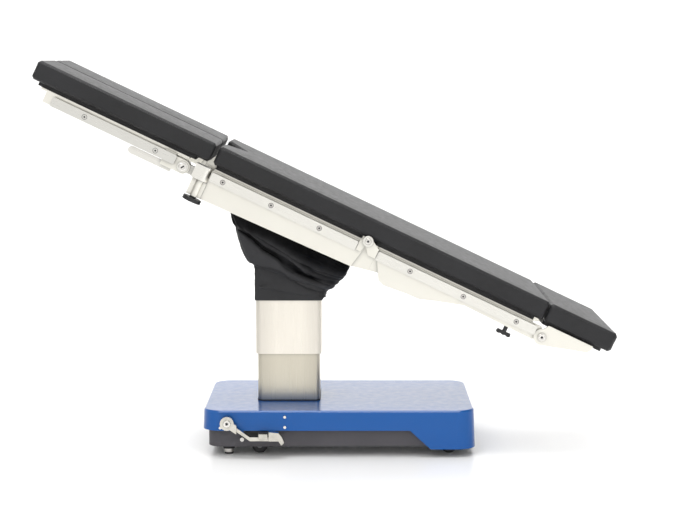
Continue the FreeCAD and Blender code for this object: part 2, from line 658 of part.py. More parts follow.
def base_cover():
    """Blue cover: a tray upside down with leaning walls, raised along the sides and the foot end."""
    slope = "atan(base_flare / (base_top - end_low))"
    floor_outset = "base_flare * base_top / (base_top - end_low)"
    outer = lean(slab(base_outline("0 - " + floor_outset), ("end_low", "base_top")), slope)
    edge = DOC.addObject("Part::Chamfer", "TopEdge")
    edge.Base = outer
    bevel = SHEET.get("base_edge")
    top_edges = edges_at_height(outer.Shape, SHEET.get("base_top"))
    edge.Edges = [(number, bevel, bevel) for number in top_edges]
    hollow = lean(
        slab(base_outline("base_wall - " + floor_outset), ("end_low", "base_top - base_wall")),
        slope,
    )
    bay = plate(
        [
            ("base_left - 2 * base_flare", "end_low - base_wall"),
            ("bay_foot", "end_low - base_wall"),
            ("bay_top", "band_low"),
            ("base_left - 2 * base_flare", "band_low"),
        ],
        middle("base_deep"),
    )
    well = box(
        ("column_x - pedestal_half - pedestal_gap", "column_x + pedestal_half + pedestal_gap"),
        middle("pedestal_half + pedestal_gap"),
        ("band_low", "base_top + base_wall"),
    )
    shaft_hole = rod_y(
        "shaft_round + shaft_gap",
        "shaft_x",
        "shaft_height",
        ("-(base_deep)", "-(base_deep / 2 - 3 * base_wall)"),
    )
    keep("base_cover", cut(edge, hollow, bay, well, shaft_hole, *cover_screw_set("fit_gap")))


def edges_at_height(shape, height):
    """Numbers of the edges whose ends both lie at a height."""
    return [
        number
        for number, edge in enumerate(shape.Edges, start=1)
        if all(abs(vertex.Z - height) < TOUCHING for vertex in edge.Vertexes)
    ]


def base_skirt():
    """Grey skirt: a plain ring of sheet inside the cover, open above and below."""
    inset = "(skirt_inset + skirt_wall)"
    outer = slab(base_outline("skirt_inset"), ("skirt_low", SKIRT_TOP))
    inner = slab(base_outline(inset), ("skirt_low - skirt_wall", SKIRT_TOP + " + skirt_wall"))
    hole_span = ("-(base_deep / 2)", "-(base_deep / 2 - 2 * %s)" % inset)
    shaft_hole = rod_y("shaft_round + shaft_gap", "shaft_x", "shaft_height", hole_span)
    keep("base_skirt", cut(outer, inner, shaft_hole))


def base_frame():
    """Chassis plate with the column pedestal and the brake shaft's two bearing blocks."""
    deck_plate = slab(base_outline("skirt_inset + skirt_wall"), CHASSIS)
    pedestal = box(
        ("column_x - pedestal_half", "column_x + pedestal_half"),
        middle("pedestal_half"),
        (CHASSIS[1], "base_top"),
    )
    solids = [deck_plate, pedestal]
    holes = []
    for side in SIDES.values():
        blocks = across(side, "bearing_inner", "bearing_inner + bearing_wide")
        solids.append(
            box(
                ("shaft_x - bearing_half", "shaft_x + bearing_half"),
                blocks,
                (CHASSIS[1], "shaft_height + bearing_half"),
            )
        )
        holes.append(rod_y("shaft_round + bearing_gap + bush_wall", "shaft_x", "shaft_height", blocks))
        holes.append(
            rod_z(
                "foot_round + bearing_gap",
                "shaft_x",
                "%d * foot_out" % side,
                ("chassis_low - chassis_thick", "chassis_low + 2 * chassis_thick"),
            )
        )
        for place in ("castor_left", "castor_right"):
            holes.append(
                rod_z(
                    "stem_round + bearing_gap",
                    place,
                    "%d * castor_out" % side,
                    ("chassis_low - chassis_thick", "chassis_low + socket_deep"),
                )
            )
    keep("base_frame", cut(fuse(*solids), *holes))


def shaft_bushes():
    """A bush in each bearing block of the brake shaft."""
    bushes = []
    for side in SIDES.values():
        span = across(side, "bearing_inner", "bearing_inner + bearing_wide")
        shell = rod_y("shaft_round + bearing_gap + bush_wall", "shaft_x", "shaft_height", span)
        bushes.append(cut(shell, rod_y("shaft_round + bearing_gap", "shaft_x", "shaft_height", span)))
    keep("shaft_bushes", group(bushes))


def cover_screw_set(extra):
    """The three light screws of the near face, or with extra radius the seats sunk for them."""
    seat = "base_deep / 2 - cover_screw_sink"
    span = across(NEAR, seat, seat + " + cover_screw_thick")
    return [rod_y("cover_screw_round + " + extra, x, z, span) for x, z in COVER_SCREWS]


def cover_screws():
    """Light screws on the near face of the base cover, in their sunk seats."""
    keep("cover_screws", group(cover_screw_set("0")))


def pedal_stop():
    """Stop pin below the pedal arm, on the skirt."""
    face = "base_deep / 2 - skirt_inset"
    pin = rod_y("stop_round", "stop_at", "stop_height", across(NEAR, face, face + " + stop_long"))
    keep("pedal_stop", pin)


def brake_shaft():
    """Transverse shaft with an eccentric over each brake foot."""
    span = ("-(pedal_inner)", "bearing_inner + bearing_wide")
    shaft = rod_y("shaft_round", "shaft_x", "shaft_height", span)
    cams = [
        rod_y(
            "cam_round",
            "shaft_x + cam_throw * cos(cam_lead)",
            "shaft_height - cam_throw * sin(cam_lead)",
            across(side, "foot_out - cam_wide / 2", "foot_out + cam_wide / 2"),
        )
        for side in SIDES.values()
    ]
    keep("brake_shaft", fuse(shaft, *cams))


def ribbon(path, y_span):
    """A bar that follows a path in side view; each path point gives its half height."""
    upper = [(x, "%s + %s" % (z, half)) for x, z, half in path]
    lower = [(x, "%s - %s" % (z, half)) for x, z, half in reversed(path)]
    return plate(upper + lower, y_span)


def brake_pedal():
    """Pedal lever: hub, clevis block, cranked arm, tread on it and an upturned toe plate."""
    faces = across(NEAR, "pedal_inner", "pedal_outer")
    bar = across(NEAR, "pedal_inner + arm_inset", "pedal_outer - arm_inset")
    arm = ribbon(
        [
            ("shaft_x", "shaft_height", "arm_half"),
            ("shaft_x + crank_reach", "shaft_height - crank_drop", "arm_half"),
            ("shaft_x + arm_reach", "shaft_height - arm_drop", "arm_half"),
            ("shaft_x + toe_start", "shaft_height - arm_drop", "arm_half"),
        ],
        bar,
    )
    toe = plate(
        [
            ("shaft_x + toe_start", "shaft_height - toe_top"),
            ("shaft_x + toe_reach - 2 * toe_tip", "shaft_height - toe_top - toe_tip / 3"),
            ("shaft_x + toe_reach - toe_tip", "shaft_height - toe_top - 1.5 * toe_tip"),
            ("shaft_x + toe_reach", "shaft_height - toe_drop + toe_tip"),
            ("shaft_x + toe_reach - toe_tip", "shaft_height - toe_drop"),
            ("shaft_x + toe_reach - 2 * toe_tip", "shaft_height - arm_drop - arm_half"),
            ("shaft_x + toe_start", "shaft_height - arm_drop - arm_half"),
        ],
        faces,
    )
    hub = rod_y("hub_round", "shaft_x", "shaft_height", faces)
    clevis = ribbon(
        [
            ("shaft_x", "shaft_height", "clevis_half"),
            ("shaft_x + crank_reach", "shaft_height - crank_drop", "clevis_half"),
        ],
        faces,
    )
    tread = box(
        ("shaft_x + tread_at", "shaft_x + tread_at + tread_long"),
        faces,
        ("shaft_height - arm_drop", "shaft_height - arm_drop + tread_high"),
    )
    keep("brake_pedal", fuse(arm, toe, hub, clevis, tread))


def brake_feet():
    """Two feet that the cams press to the floor, each with a collar turned on it."""
    for name, side in SIDES.items():
        y = "%d * foot_out" % side
        top = "shaft_height - cam_round - cam_throw * sin(cam_lead) - fit_gap"
        stem = rod_z("foot_round", "shaft_x", y, ("0", top))
        collar = rod_z("foot_collar", "shaft_x", y, ("collar_low", "collar_low + collar_high"))
        keep("brake_foot_" + name, fuse(stem, collar))


CHEEK_INNER = "wheel_wide / 2 + cheek_gap"
CHEEK_OUTER = "wheel_wide / 2 + cheek_gap + cheek_thick"


def castor(tag, place, side):
    """A swivel fork with its axle, and its wheel."""
    y = "%d * castor_out" % side
    axle_x = "%s + castor_trail" % place
    crown = rod_z("crown_round", place, y, ("crown_low", "chassis_low - fit_gap"))
    stem = rod_z(
        "stem_round", place, y, ("crown_low", "chassis_low + socket_deep - stem_gap")
    )
    pieces = [crown, stem]
    for cheek in (NEAR, FAR):
        low, high = across(cheek, CHEEK_INNER, CHEEK_OUTER)
        y_span = ("%s + (%s)" % (y, low), "%s + (%s)" % (y, high))
        pieces.append(
            plate(
                [
                    ("%s - cheek_half" % place, "crown_low"),
                    (axle_x + " - cheek_half", "wheel_round"),
                    (axle_x + " + cheek_half", "wheel_round"),
                    ("%s + 2 * cheek_half" % place, "crown_low"),
                ],
                y_span,
            )
        )
        pieces.append(rod_y("cheek_half", axle_x, "wheel_round", y_span))
    axle_ends = ("%s - (%s)" % (y, CHEEK_OUTER), "%s + %s" % (y, CHEEK_OUTER))
    pieces.append(rod_y("axle_round", axle_x, "wheel_round", axle_ends))
    keep("castor_fork_" + tag, fuse(*pieces))
    tread_y = ("%s - wheel_wide / 2" % y, "%s + wheel_wide / 2" % y)
    tread = rod_y("wheel_round", axle_x, "wheel_round", tread_y)
    bore_y = ("%s - wheel_wide" % y, "%s + wheel_wide" % y)
    bore = rod_y("axle_round + bearing_gap", axle_x, "wheel_round", bore_y)
    tyre = DOC.addObject("Part::Chamfer", "Tyre")
    tyre.Base = tread
    DOC.recompute()
    rims = [number for number, edge in enumerate(tread.Shape.Edges, start=1) if edge.Closed]
    tyre.Edges = [(number, SHEET.get("tyre_edge"), SHEET.get("tyre_edge")) for number in rims]
    keep("castor_wheel_" + tag, cut(tyre, bore))


def castors():
    """Four castors under the corners of the chassis."""
    for end, place in (("foot", "castor_left"), ("head", "castor_right")):
        for name, side in SIDES.items():
            castor("%s_%s" % (end, name), place, side)


def column_outline(half_wide, half_deep, corner):
    """A rounded plan rectangle round the column axis."""
    return rectangle(
        ("column_x - (%s)" % half_wide, "column_x + (%s)" % half_wide), middle("(%s)" % half_deep), corner
    )


def tube(wide, deep, corner, wall, z_span):
    """A rounded square tube round the column axis."""
    half_wide = "(%s) / 2" % wide
    half_deep = "(%s) / 2" % deep
    outer = slab(column_outline(half_wide, half_deep, corner), z_span)
    inner = slab(
        column_outline(*("%s - %s" % (size, wall) for size in (half_wide, half_deep, corner))),
        ("%s - tube_end" % z_span[0], "%s + tube_end" % z_span[1]),
    )
    return cut(outer, inner)


LOWER_WIDE = "cover_wide - 2 * cover_step"
LOWER_DEEP = "cover_deep - 2 * cover_step"


def column_covers():
    """Two telescopic stainless covers and the gasket at the column's foot."""
    foot = "base_top + gasket_high"
    lower = tube(LOWER_WIDE, LOWER_DEEP, "lower_corner", "cover_wall", (foot, "lower_top"))
    keep("column_lower_cover", lower)
    keep(
        "column_gasket",
        tube(
            LOWER_WIDE + " + 2 * gasket_wide",
            LOWER_DEEP + " + 2 * gasket_wide",
            "lower_corner + gasket_wide",
            "gasket_wall",
            ("base_top", foot),
        ),
    )
    keep(
        "column_upper_cover",
        tube("cover_wide", "cover_deep", "cover_corner", "cover_wall", ("cover_edge", "head_plate")),
    )


def lift_ram():
    """Lift cylinder on the pedestal and the rod that carries the column head."""
    barrel = rod_z("barrel_round", "column_x", "0", ("base_top", "barrel_top"))
    bore_z = ("base_top + barrel_floor", "barrel_top + barrel_floor")
    bore = rod_z("ram_round + bearing_gap", "column_x", "0", bore_z)
    keep("lift_cylinder", cut(barrel, bore))
    keep("lift_rod", rod_z("ram_round", "column_x", "0", ("rod_foot", "head_plate")))


def column_head():
    """Plate on the upper cover with two lugs that hold the tilt axis."""
    top = "head_plate + head_plate_thick"
    pieces = [slab(column_outline("cover_wide / 2", "cover_deep / 2", "cover_corner"), ("head_plate", top))]
    bores = []
    for side in SIDES.values():
        faces = across(side, "lug_inner", "lug_outer")
        pieces.append(box(("column_x - lug_round", "column_x + lug_round"), faces, (top, "pivot_height")))
        pieces.append(rod_y("lug_round", "column_x", "pivot_height", faces))
        bores.append(rod_y("cross_pin + bearing_gap", "column_x", "pivot_height", faces))
    keep("column_head", cut(fuse(*pieces), *bores))


def tilt_cross():
    """Cross of two pairs of trunnions: slope about one, sideways roll about the other."""
    body = box(middle("cross_long"), middle("cross_wide"), middle("cross_high"))
    keep_on_table(
        "tilt_cross",
        fuse(
            body,
            rod_y("cross_pin", "0", "0", middle("lug_outer + pin_proud")),
            rod_x("cross_pin", "0", "0", middle("roll_outer + pin_proud")),
        ),
    )


def seat_frame():
    """Welded seat frame: top plate, two long beams, roll bearing lugs and leg swivel brackets."""
    left = along("swivel + knuckle + swivel_gap")
    right = along("back_hinge - seat_short")
    edge = along("leg_length + leg_gap")
    notch_tip = along("leg_length + leg_gap + cut_deep + notch_board")
    sheet = depths(*SHEET_METAL)
    beam = depths("plate_drop", "beam_drop")
    bracket_depth = depths("block_low + bracket_gap", "bracket_low")
    pieces = [box((left, right), middle("plate_inner"), sheet)]
    bores = []
    for side in SIDES.values():
        pieces.append(box((left, right), across(side, "beam_inner", "plate_inner"), beam))
        bracket = spans("swivel - bracket_foot", "panel_start - panel_gap")
        pieces.append(
            box(bracket, across(side, "beam_inner", "bracket_out"), bracket_depth)
        )
        pieces.append(
            box(
                spans("panel_start - panel_gap", "panel_start + riser_long"),
                across(side, "beam_inner", "plate_inner"),
                depths("plate_drop", "bracket_low"),
            )
        )
        axis_y = "%d * swivel_out" % side
        pieces.append(rod_z("bracket_boss", along("swivel"), axis_y, bracket_depth))
        bores.append(
            rod_z(
                "swivel_pin + bearing_gap",
                along("swivel"),
                axis_y,
                depths("block_low", "bracket_low + knob_thick"),
            )
        )
        end = across(side, "roll_inner", "roll_outer")
        pieces.append(box(end, middle("roll_half"), ("0", sheet[0])))
        cross_beam = ("%s - cross_beam" % sheet[0], sheet[0])
        pieces.append(box(end, middle("beam_inner"), cross_beam))
        pieces.append(rod_x("roll_round", "0", "0", end))
        bores.append(rod_x("cross_pin + bearing_gap", "0", "0", end))
    notch = slab([(edge, "-(cut_half)"), (notch_tip, "0", "cut_round"), (edge, "cut_half")], sheet)
    keep_on_table("seat_frame", cut(fuse(*pieces), notch, *bores))


def seat_panels():
    """Stainless side covers of the seat, each with the ear that holds the back hinge pin."""
    panels = []
    for side in SIDES.values():
        cover = plate(
            [
                spot("panel_start", "plate_drop"),
                spot("back_hinge - panel_top", "plate_drop"),
                spot("back_hinge - panel_nose", "beam_drop - panel_rise"),
                spot("back_hinge - panel_end", "bracket_low - panel_rise"),
                spot("panel_start", "bracket_low"),
            ],
            across(side, "plate_inner", "plate_outer"),
        )
        link = box(
            spans("back_hinge - seat_link", "back_hinge - link_end"),
            across(side, "plate_outer", "ear_inner + ear_thick"),
            depths("plate_drop", "link_low"),
        )
        faces = across(side, "ear_inner", "ear_inner + ear_thick")
        ear = plate(
            [
                spot("back_hinge - seat_link", "plate_drop"),
                spot("back_hinge - seat_ear", "back_hinge_drop - seat_ear / 2"),
                spot("back_hinge", "back_hinge_drop - seat_ear / 2"),
                spot("back_hinge", "back_hinge_drop + seat_ear"),
                spot("back_hinge - link_end", "link_low"),
                spot("back_hinge - seat_link", "link_low"),
            ],
            faces,
        )
        boss = rod_y("seat_ear", along("back_hinge"), down("back_hinge_drop"), faces)
        bore = rod_y("hinge_pin + bearing_gap", along("back_hinge"), down("back_hinge_drop"), faces)
        panels.append(cut(fuse(cover, link, ear, boss), bore))
    keep_on_table("seat_panels", group(panels))


SEAT_SCREWS = tuple("seat_screw + %d * seat_pitch" % number for number in range(3))
BACK_SCREWS = tuple("back_screw + %d * back_pitch" % number for number in range(3))
LEG_SCREWS = tuple("leg_screw + %d * leg_pitch" % number for number in range(2))


def rails():
    """Accessory rails of the seat and the back, and their screws."""
    for name, start, end, places in (
        ("seat", "panel_start + rail_in", "back_hinge - seat_link - rail_in", SEAT_SCREWS),
        ("back", "back_hinge + back_start + rail_in", "head_hinge - head_lug - rail_in", BACK_SCREWS),
    ):
        bars = [rail(side, start, end, places) for side in SIDES.values()]
        heads = [head for side in SIDES.values() for head in screws(side, places)]
        keep_on_table(name + "_rails", group(bars))
        keep_on_table(name + "_rail_screws", group(heads))


def boards():
    """Black boards under the seat and back pads."""
    board = depths(*BOARD)
    notch_tip = along("leg_length + leg_gap + cut_deep + notch_board")
    start = along("leg_length + leg_gap + seat_board_in")
    end = along("back_hinge - seat_board_end")
    keep_on_table(
        "seat_board",
        slab(
            [
                (start, "-(board_half)", "pad_corner"),
                (end, "-(board_half)", "pad_corner"),
                (end, "board_half", "pad_corner"),
                (start, "board_half", "pad_corner"),
                (start, "cut_half"),
                (notch_tip, "0", "cut_round"),
                (start, "-(cut_half)"),
            ],
            board,
        ),
    )
    back_span = spans("back_hinge + back_board_in", "head_hinge - back_short")
    keep_on_table("back_board", slab(rectangle(back_span, middle("board_half"), "pad_corner"), board))


def seat_pad():
    """Seat half of the mattress: cut-out at the foot end, sloping face at the back hinge."""
    start = along("leg_length + leg_gap")
    end = along("back_hinge")
    edge = "pad_wide / 2"
    plan = slab(
        [
            (start, "-(%s)" % edge, "pad_corner"),
            (end, "-(%s)" % edge),
            (end, edge),
            (start, edge, "pad_corner"),
            (start, "cut_half"),
            (along("leg_length + leg_gap + cut_deep"), "0", "cut_round"),
            (start, "-(cut_half)"),
        ],
        depths(*PAD),
    )
    slope = plate(
        [
            spot("back_hinge - notch_half", "0"),
            spot("back_hinge + notch_half", "0"),
            spot("back_hinge + notch_half", "pad_thick"),
            spot("back_hinge - notch_low", "pad_thick"),
        ],
        middle(edge),
    )
    keep_on_table("seat_pad", cut(plan, slope))


def back_pad():
    """Back half of the mattress, with a sloping face at the hinge."""
    keep_on_table(
        "back_pad",
        plate(
            [
                spot("back_hinge + notch_half", "0"),
                spot("back_end", "0"),
                spot("back_end", "pad_thick"),
                spot("back_hinge + notch_low", "pad_thick"),
            ],
            middle("pad_wide / 2"),
        ),
    )


def folding_foam():
    """The wedge of mattress over the back hinge, which folds as the back comes up."""
    keep_on_table(
        "pad_flex",
        plate(
            [
                spot("back_hinge - notch_half + fit_gap", "0"),
                spot("back_hinge + notch_half - fit_gap", "0"),
                spot("back_hinge + notch_low - fit_gap", "pad_thick"),
                spot("back_hinge - notch_low + fit_gap", "pad_thick"),
            ],
            middle("pad_wide / 2"),
        ),
    )


BACK_EAR = "ear_inner + ear_thick + ear_gap"


def back_frame():
    """Back frame: plate, beams, gusseted side plates, inner arms and the ears of the back hinge."""
    left = along("back_hinge + back_start")
    right = along("head_hinge - back_short")
    pieces = [box((left, right), middle("plate_inner"), depths(*SHEET_METAL))]
    bores = []
    for side in SIDES.values():
        pieces.append(
            box((left, right), across(side, "side_beam", "plate_inner"), depths("plate_drop", "beam_drop"))
        )
        side_plate = plate(
            [
                spot("back_hinge + gusset_start", "plate_drop"),
                spot("head_hinge - head_lug / 2", "plate_drop"),
                spot("head_hinge", "head_hinge_drop"),
                spot("head_hinge - head_lug", "back_edge_drop"),
                spot("gusset_end", "gusset_end_drop"),
                spot("gusset_bend", "gusset_bend_drop"),
                spot("gusset_tail", "gusset_tail_drop"),
                spot("gusset_tail - gusset_round", "gusset_low - gusset_step"),
                spot("gusset_nose + gusset_round / 2", "gusset_low"),
                spot("gusset_nose", "gusset_low - gusset_step"),
            ],
            across(side, "plate_inner", "plate_outer"),
        )
        arm = plate(
            [
                spot("back_hinge + panel_nose", "plate_drop"),
                spot("back_hinge + arm_root", "plate_drop"),
                spot("back_hinge + arm_root", "gusset_bend_drop"),
                spot("back_hinge + arm_root - arm_inset", "gusset_bend_drop"),
                spot("back_hinge - panel_end", "bracket_low - panel_rise"),
            ],
            across(side, "plate_inner - inner_arm", "plate_inner - arm_gap"),
        )
        filler = box(
            spans("back_hinge + back_start", "back_hinge + arm_root"),
            across(side, "plate_inner - 2 * arm_gap", "plate_inner"),
            depths("plate_drop", "gusset_bend_drop"),
        )
        link = box(
            spans("back_hinge + back_link", "back_hinge + back_start"),
            across(side, "plate_inner - 2 * arm_gap", BACK_EAR + " + back_ear_thick"),
            depths("plate_drop", "link_low"),
        )
        faces = across(side, BACK_EAR, BACK_EAR + " + back_ear_thick")
        ear = plate(
            [
                spot("back_hinge", "back_hinge_drop - hinge_boss"),
                spot("back_hinge + back_start", "plate_drop"),
                spot("back_hinge + back_start", "link_low"),
                spot("back_hinge + back_link", "link_low"),
                spot("back_hinge", "back_hinge_drop + hinge_boss"),
            ],
            faces,
        )
        boss = rod_y("hinge_boss", along("back_hinge"), down("back_hinge_drop"), faces)
        bores.append(rod_y("hinge_pin", along("back_hinge"), down("back_hinge_drop"), faces))
        lug_y = across(side, "plate_inner", "plate_outer")
        x, z = spot("head_hinge", "head_hinge_drop")
        head_lug = rod_y("back_lug", x, z, lug_y)
        bores.append(rod_y("head_pin + bearing_gap", x, z, lug_y))
        socket = box(
            spans("head_knob_at - knob_block", "head_knob_at + knob_block"),
            across(side, "head_knob_out - knob_block", "plate_inner"),
            depths("plate_drop", "knob_block_low"),
        )
        pieces.extend([side_plate, arm, filler, link, ear, boss, head_lug, socket])
    keep_on_table("back_frame", cut(fuse(*pieces), *bores))


HEAD_INNER = "plate_outer + head_gap_side"
HEAD_OUTER = "plate_outer + head_gap_side + head_thick"


def hinge_pins():
    """Headed pins of the back hinge and of the head hinge."""
    back_pins = []
    head_pins = []
    pin_end = BACK_EAR + " + back_ear_thick"
    for side in SIDES.values():
        x, z = spot("back_hinge", "back_hinge_drop")
        back_pins.append(
            fuse(
                rod_y("hinge_pin", x, z, across(side, "ear_inner", pin_end)),
                rod_y("pin_head_round", x, z, across(side, pin_end, pin_end + " + pin_head")),
            )
        )
        x, z = spot("head_hinge", "head_hinge_drop")
        head_pins.append(
            fuse(
                rod_y("head_pin", x, z, across(side, "plate_inner - pin_proud", HEAD_OUTER)),
                rod_y("head_pin_head", x, z, across(side, HEAD_OUTER, HEAD_OUTER + " + head_pin_proud")),
            )
        )
    keep_on_table("back_hinge_pins", group(back_pins))
    keep_on_table("head_hinge_pins", group(head_pins))


def head_section():
    """Head plate: tapered side plates on a cross plate, board, pad and its soft edge."""
    length = spans("head_hinge + head_plate_at", "top_length - head_short")
    pieces = [box(length, middle(HEAD_INNER), depths(*SHEET_METAL))]
    bores = []
    for side in SIDES.values():
        faces = across(side, HEAD_INNER, HEAD_OUTER)
        pieces.append(
            plate(
                [
                    spot("head_hinge + head_taper / 2", "head_top_drop"),
                    spot("top_length - head_short", "head_top_drop"),
                    spot("top_length - head_short", "plate_drop"),
                    spot("top_length - head_short - head_taper", "head_nose_drop"),
                    spot("head_hinge + head_taper", "head_root_drop"),
                    spot("head_hinge - head_lug / 2", "head_hinge_drop - head_lug / 2"),
                ],
                faces,
            )
        )
        pieces.append(rod_y("head_lug", along("head_hinge"), down("head_hinge_drop"), faces))
        bores.append(rod_y("head_pin", along("head_hinge"), down("head_hinge_drop"), faces))
    keep_on_table("head_frame", cut(fuse(*pieces), *bores))
    board_span = spans("head_hinge - head_board", "top_length - board_inset")
    board_plan = rectangle(board_span, middle("board_half"), "pad_corner")
    keep_on_table("head_board", slab(board_plan, depths(*BOARD)))
    start = "back_end + head_gap"
    keep_on_table(
        "head_pad",
        plate(
            [
                spot(start + " + head_edge_top", "0"),
                spot("top_length", "0"),
                spot("top_length", "pad_thick"),
                spot(start + " + head_edge_low", "pad_thick"),
            ],
            middle("pad_wide / 2"),
        ),
    )
    keep_on_table(
        "head_pad_edge",
        plate(
            [
                spot(start, "0"),
                spot(start + " + head_edge_top - fit_gap", "0"),
                spot(start + " + head_edge_low - fit_gap", "pad_thick"),
                spot(start, "pad_thick"),
            ],
            middle("pad_wide / 2"),
        ),
    )


def head_knobs():
    """Tee-handled clamp screws under the head end of the back frame."""
    for name, side in SIDES.items():
        y = "%d * head_knob_out" % side
        height = depths("knob_block_low + fit_gap", "tee_top + tee_high / 2")
        stem = rod_z("head_stem", along("head_knob_at"), y, height)
        bar = box(
            spans("head_knob_at - tee_half", "head_knob_at + tee_half"),
            ("%s - head_stem" % y, "%s + head_stem" % y),
            depths("tee_top", "tee_top + tee_high"),
        )
        keep_on_table("head_knob_" + name, fuse(stem, bar))


def leg(name, side):
    """One leg plate: swivel block, frame, rail, board, pad, clamp knob and release lever."""
    x, z = spot("leg_hinge", "leg_hinge_drop")
    swivel_y = "%d * swivel_out" % side
    cap = across(side, "rail_inner", "rail_inner + cap_proud")
    tongue = across(side, "tongue_inner", "plate_outer")
    block = depths("block_top", "block_low")
    block_y = across(side, "swivel_out - knuckle", "swivel_out + knuckle")
    swivel_block = fuse(
        rod_z("knuckle", along("swivel"), swivel_y, block),
        box(spans("swivel - block_long", "swivel"), block_y, block),
        box(
            spans("leg_hinge", "swivel - block_long"),
            tongue,
            depths("leg_hinge_drop - tongue_round", "leg_hinge_drop + tongue_round"),
        ),
        rod_y("tongue_round", x, z, tongue),
        rod_y("trunnion", x, z, across(side, "cheek_in", "rail_inner")),
        rod_y("cap_round", x, z, cap),
        rod_z("swivel_pin", along("swivel"), swivel_y, depths("block_low", "bracket_low")),
    )
    keep_on_table("leg_block_" + name, swivel_block)
    frame_steel(name, side, x, z)
    bar = rail(side, "leg_rail_foot", "leg_rail_end", LEG_SCREWS)
    keep_on_table("leg_rail_" + name, group([bar] + screws(side, LEG_SCREWS)))
    board_y = across(side, "leg_split / 2 + leg_board_out", "board_half")
    board_span = spans("board_inset", "leg_hinge + leg_board_end")
    keep_on_table("leg_board_" + name, slab(rectangle(board_span, board_y, "pad_corner"), depths(*BOARD)))
    inner_y = "%d * leg_split / 2" % side
    outer_y = "%d * pad_wide / 2" % side
    pad_points = [
        (along("0"), inner_y, "leg_notch"),
        (along("leg_length"), inner_y, "pad_corner"),
        (along("leg_length"), outer_y, "pad_corner"),
        (along("0"), outer_y, "pad_corner"),
    ]
    keep_on_table("leg_pad_" + name, slab(pad_points, depths(*PAD)))
    disc = depths("bracket_low + stem_high", "bracket_low + stem_high + knob_thick")
    stem = depths("bracket_low + fit_gap", "bracket_low + stem_high")
    knob = fuse(
        rod_z("knob_round", along("swivel"), swivel_y, disc),
        rod_z("knob_stem", along("swivel"), swivel_y, stem),
    )
    keep_on_table("leg_knob_" + name, knob)
    release_lever(name, side)


LEVER_EAR = ("lever_inner", "lever_inner + lever_ear")


def release_lever(name, side):
    """Flat release lever under the leg rail, rounded at its foot end, on a pin in the leg frame's ear."""
    inner_face = "lever_inner + lever_ear + fit_gap"
    faces = across(side, inner_face, inner_face + " + lever_thick")
    pin_y = across(side, "lever_inner", inner_face + " + lever_thick")
    pivot = spot("lever_pivot", "lever_drop")
    blade = box(
        spans("lever_foot", "lever_pivot + lever_half"),
        faces,
        depths("lever_drop - lever_half", "lever_drop + lever_half"),
    )
    rounded_end = rod_y("lever_half", along("lever_foot"), down("lever_drop"), faces)
    keep_on_table("release_lever_" + name, fuse(blade, rounded_end, rod_y("lever_pin", *pivot, pin_y)))


def frame_steel(name, side, x, z):
    """Leg frame: long beam, tray plate, and a fork of two cheeks round the swivel block's tongue."""
    ear = across(side, *LEVER_EAR)
    outer_face = "rail_inner - fit_gap"
    pieces = [
        box(
            spans("leg_beam_foot", "fork_root + cheek_round"),
            across(side, "side_beam", "plate_outer"),
            depths("plate_drop", "leg_beam_drop"),
        ),
        box(
            spans("leg_plate_foot", "leg_hinge + leg_plate_end"),
            across(side, "leg_plate_inner", "plate_outer"),
            depths(*SHEET_METAL),
        ),
        box(
            spans("fork_root", "leg_hinge - knuckle_room"),
            across(side, "cheek_in", outer_face),
            depths("plate_drop", "leg_beam_drop"),
        ),
        box(
            spans("lever_pivot - ear_half", "lever_pivot + ear_half"),
            ear,
            depths("beam_drop", "lever_drop + lever_half"),
        ),
    ]
    bores = [rod_y("lever_pin + bearing_gap", *spot("lever_pivot", "lever_drop"), ear)]
    for inner, outer in (("cheek_in", "tongue_inner - tongue_gap"), ("plate_outer + tongue_gap", outer_face)):
        faces = across(side, inner, outer)
        cheek = depths("leg_hinge_drop - cheek_round", "leg_hinge_drop + cheek_round")
        pieces.append(box(spans("fork_root", "leg_hinge"), faces, cheek))
        pieces.append(rod_y("cheek_round", x, z, faces))
        bores.append(rod_y("trunnion + bearing_gap", x, z, faces))
    keep_on_table("leg_frame_" + name, cut(fuse(*pieces), *bores))


def rounded_ring(center_x, height, half_long, half_deep, corner):
    """Corner points of a level rounded rectangle; its corners' straight steps lie outside their arcs."""
    bends = ((1, 1), (-1, 1), (-1, -1), (1, -1))
    reach = corner / math.cos(math.pi / 4 / CORNER_STEPS)
    ring = []
    for number, (x_sign, y_sign) in enumerate(bends):
        for step in range(CORNER_STEPS):
            angle = math.pi / 2 * (number + (step + 0.5) / CORNER_STEPS)
            x = center_x + x_sign * (half_long - corner) + reach * math.cos(angle)
            y = y_sign * (half_deep - corner) + reach * math.sin(angle)
            ring.append(FreeCAD.Vector(x, y, height))
    return ring


def tilted(ring, height, angle):
    """A ring turned about a line across the table, at a height above the column's middle."""
    turned = FreeCAD.Placement(
        FreeCAD.Vector(SHEET.get("column_x"), 0, height),
        FreeCAD.Rotation(FreeCAD.Vector(0, 1, 0), angle),
    )
    return [turned.multVec(point) for point in ring]


def bellows_rings(extra):
    """The bellows' outline: a level hem, then four rings at the slope of the table."""
    size = SHEET.get
    hem_long = size("cover_wide") / 2 + size("hem_gap") + extra
    hem_deep = size("cover_deep") / 2 + size("hem_gap") + extra
    corner = size("cover_corner") + extra
    slope = float(size("tilt"))
    neck_long = hem_long / math.cos(math.radians(slope)) + size("hem_gap")
    rings = [
        tilted(rounded_ring(0, 0, hem_long, hem_deep, corner), size("hem_height"), 0),
        tilted(rounded_ring(0, 0, neck_long, hem_deep, corner), size("neck_height"), slope),
    ]
    for name in ("waist", "swell", "rim"):
        ring = rounded_ring(
            size(name + "_at"),
            -size(name + "_drop"),
            size(name + "_long") + extra,
            size(name + "_deep") + extra,
            size(name + "_corner"),
        )
        rings.append(tilted(ring, size("pivot_height"), slope))
    return rings


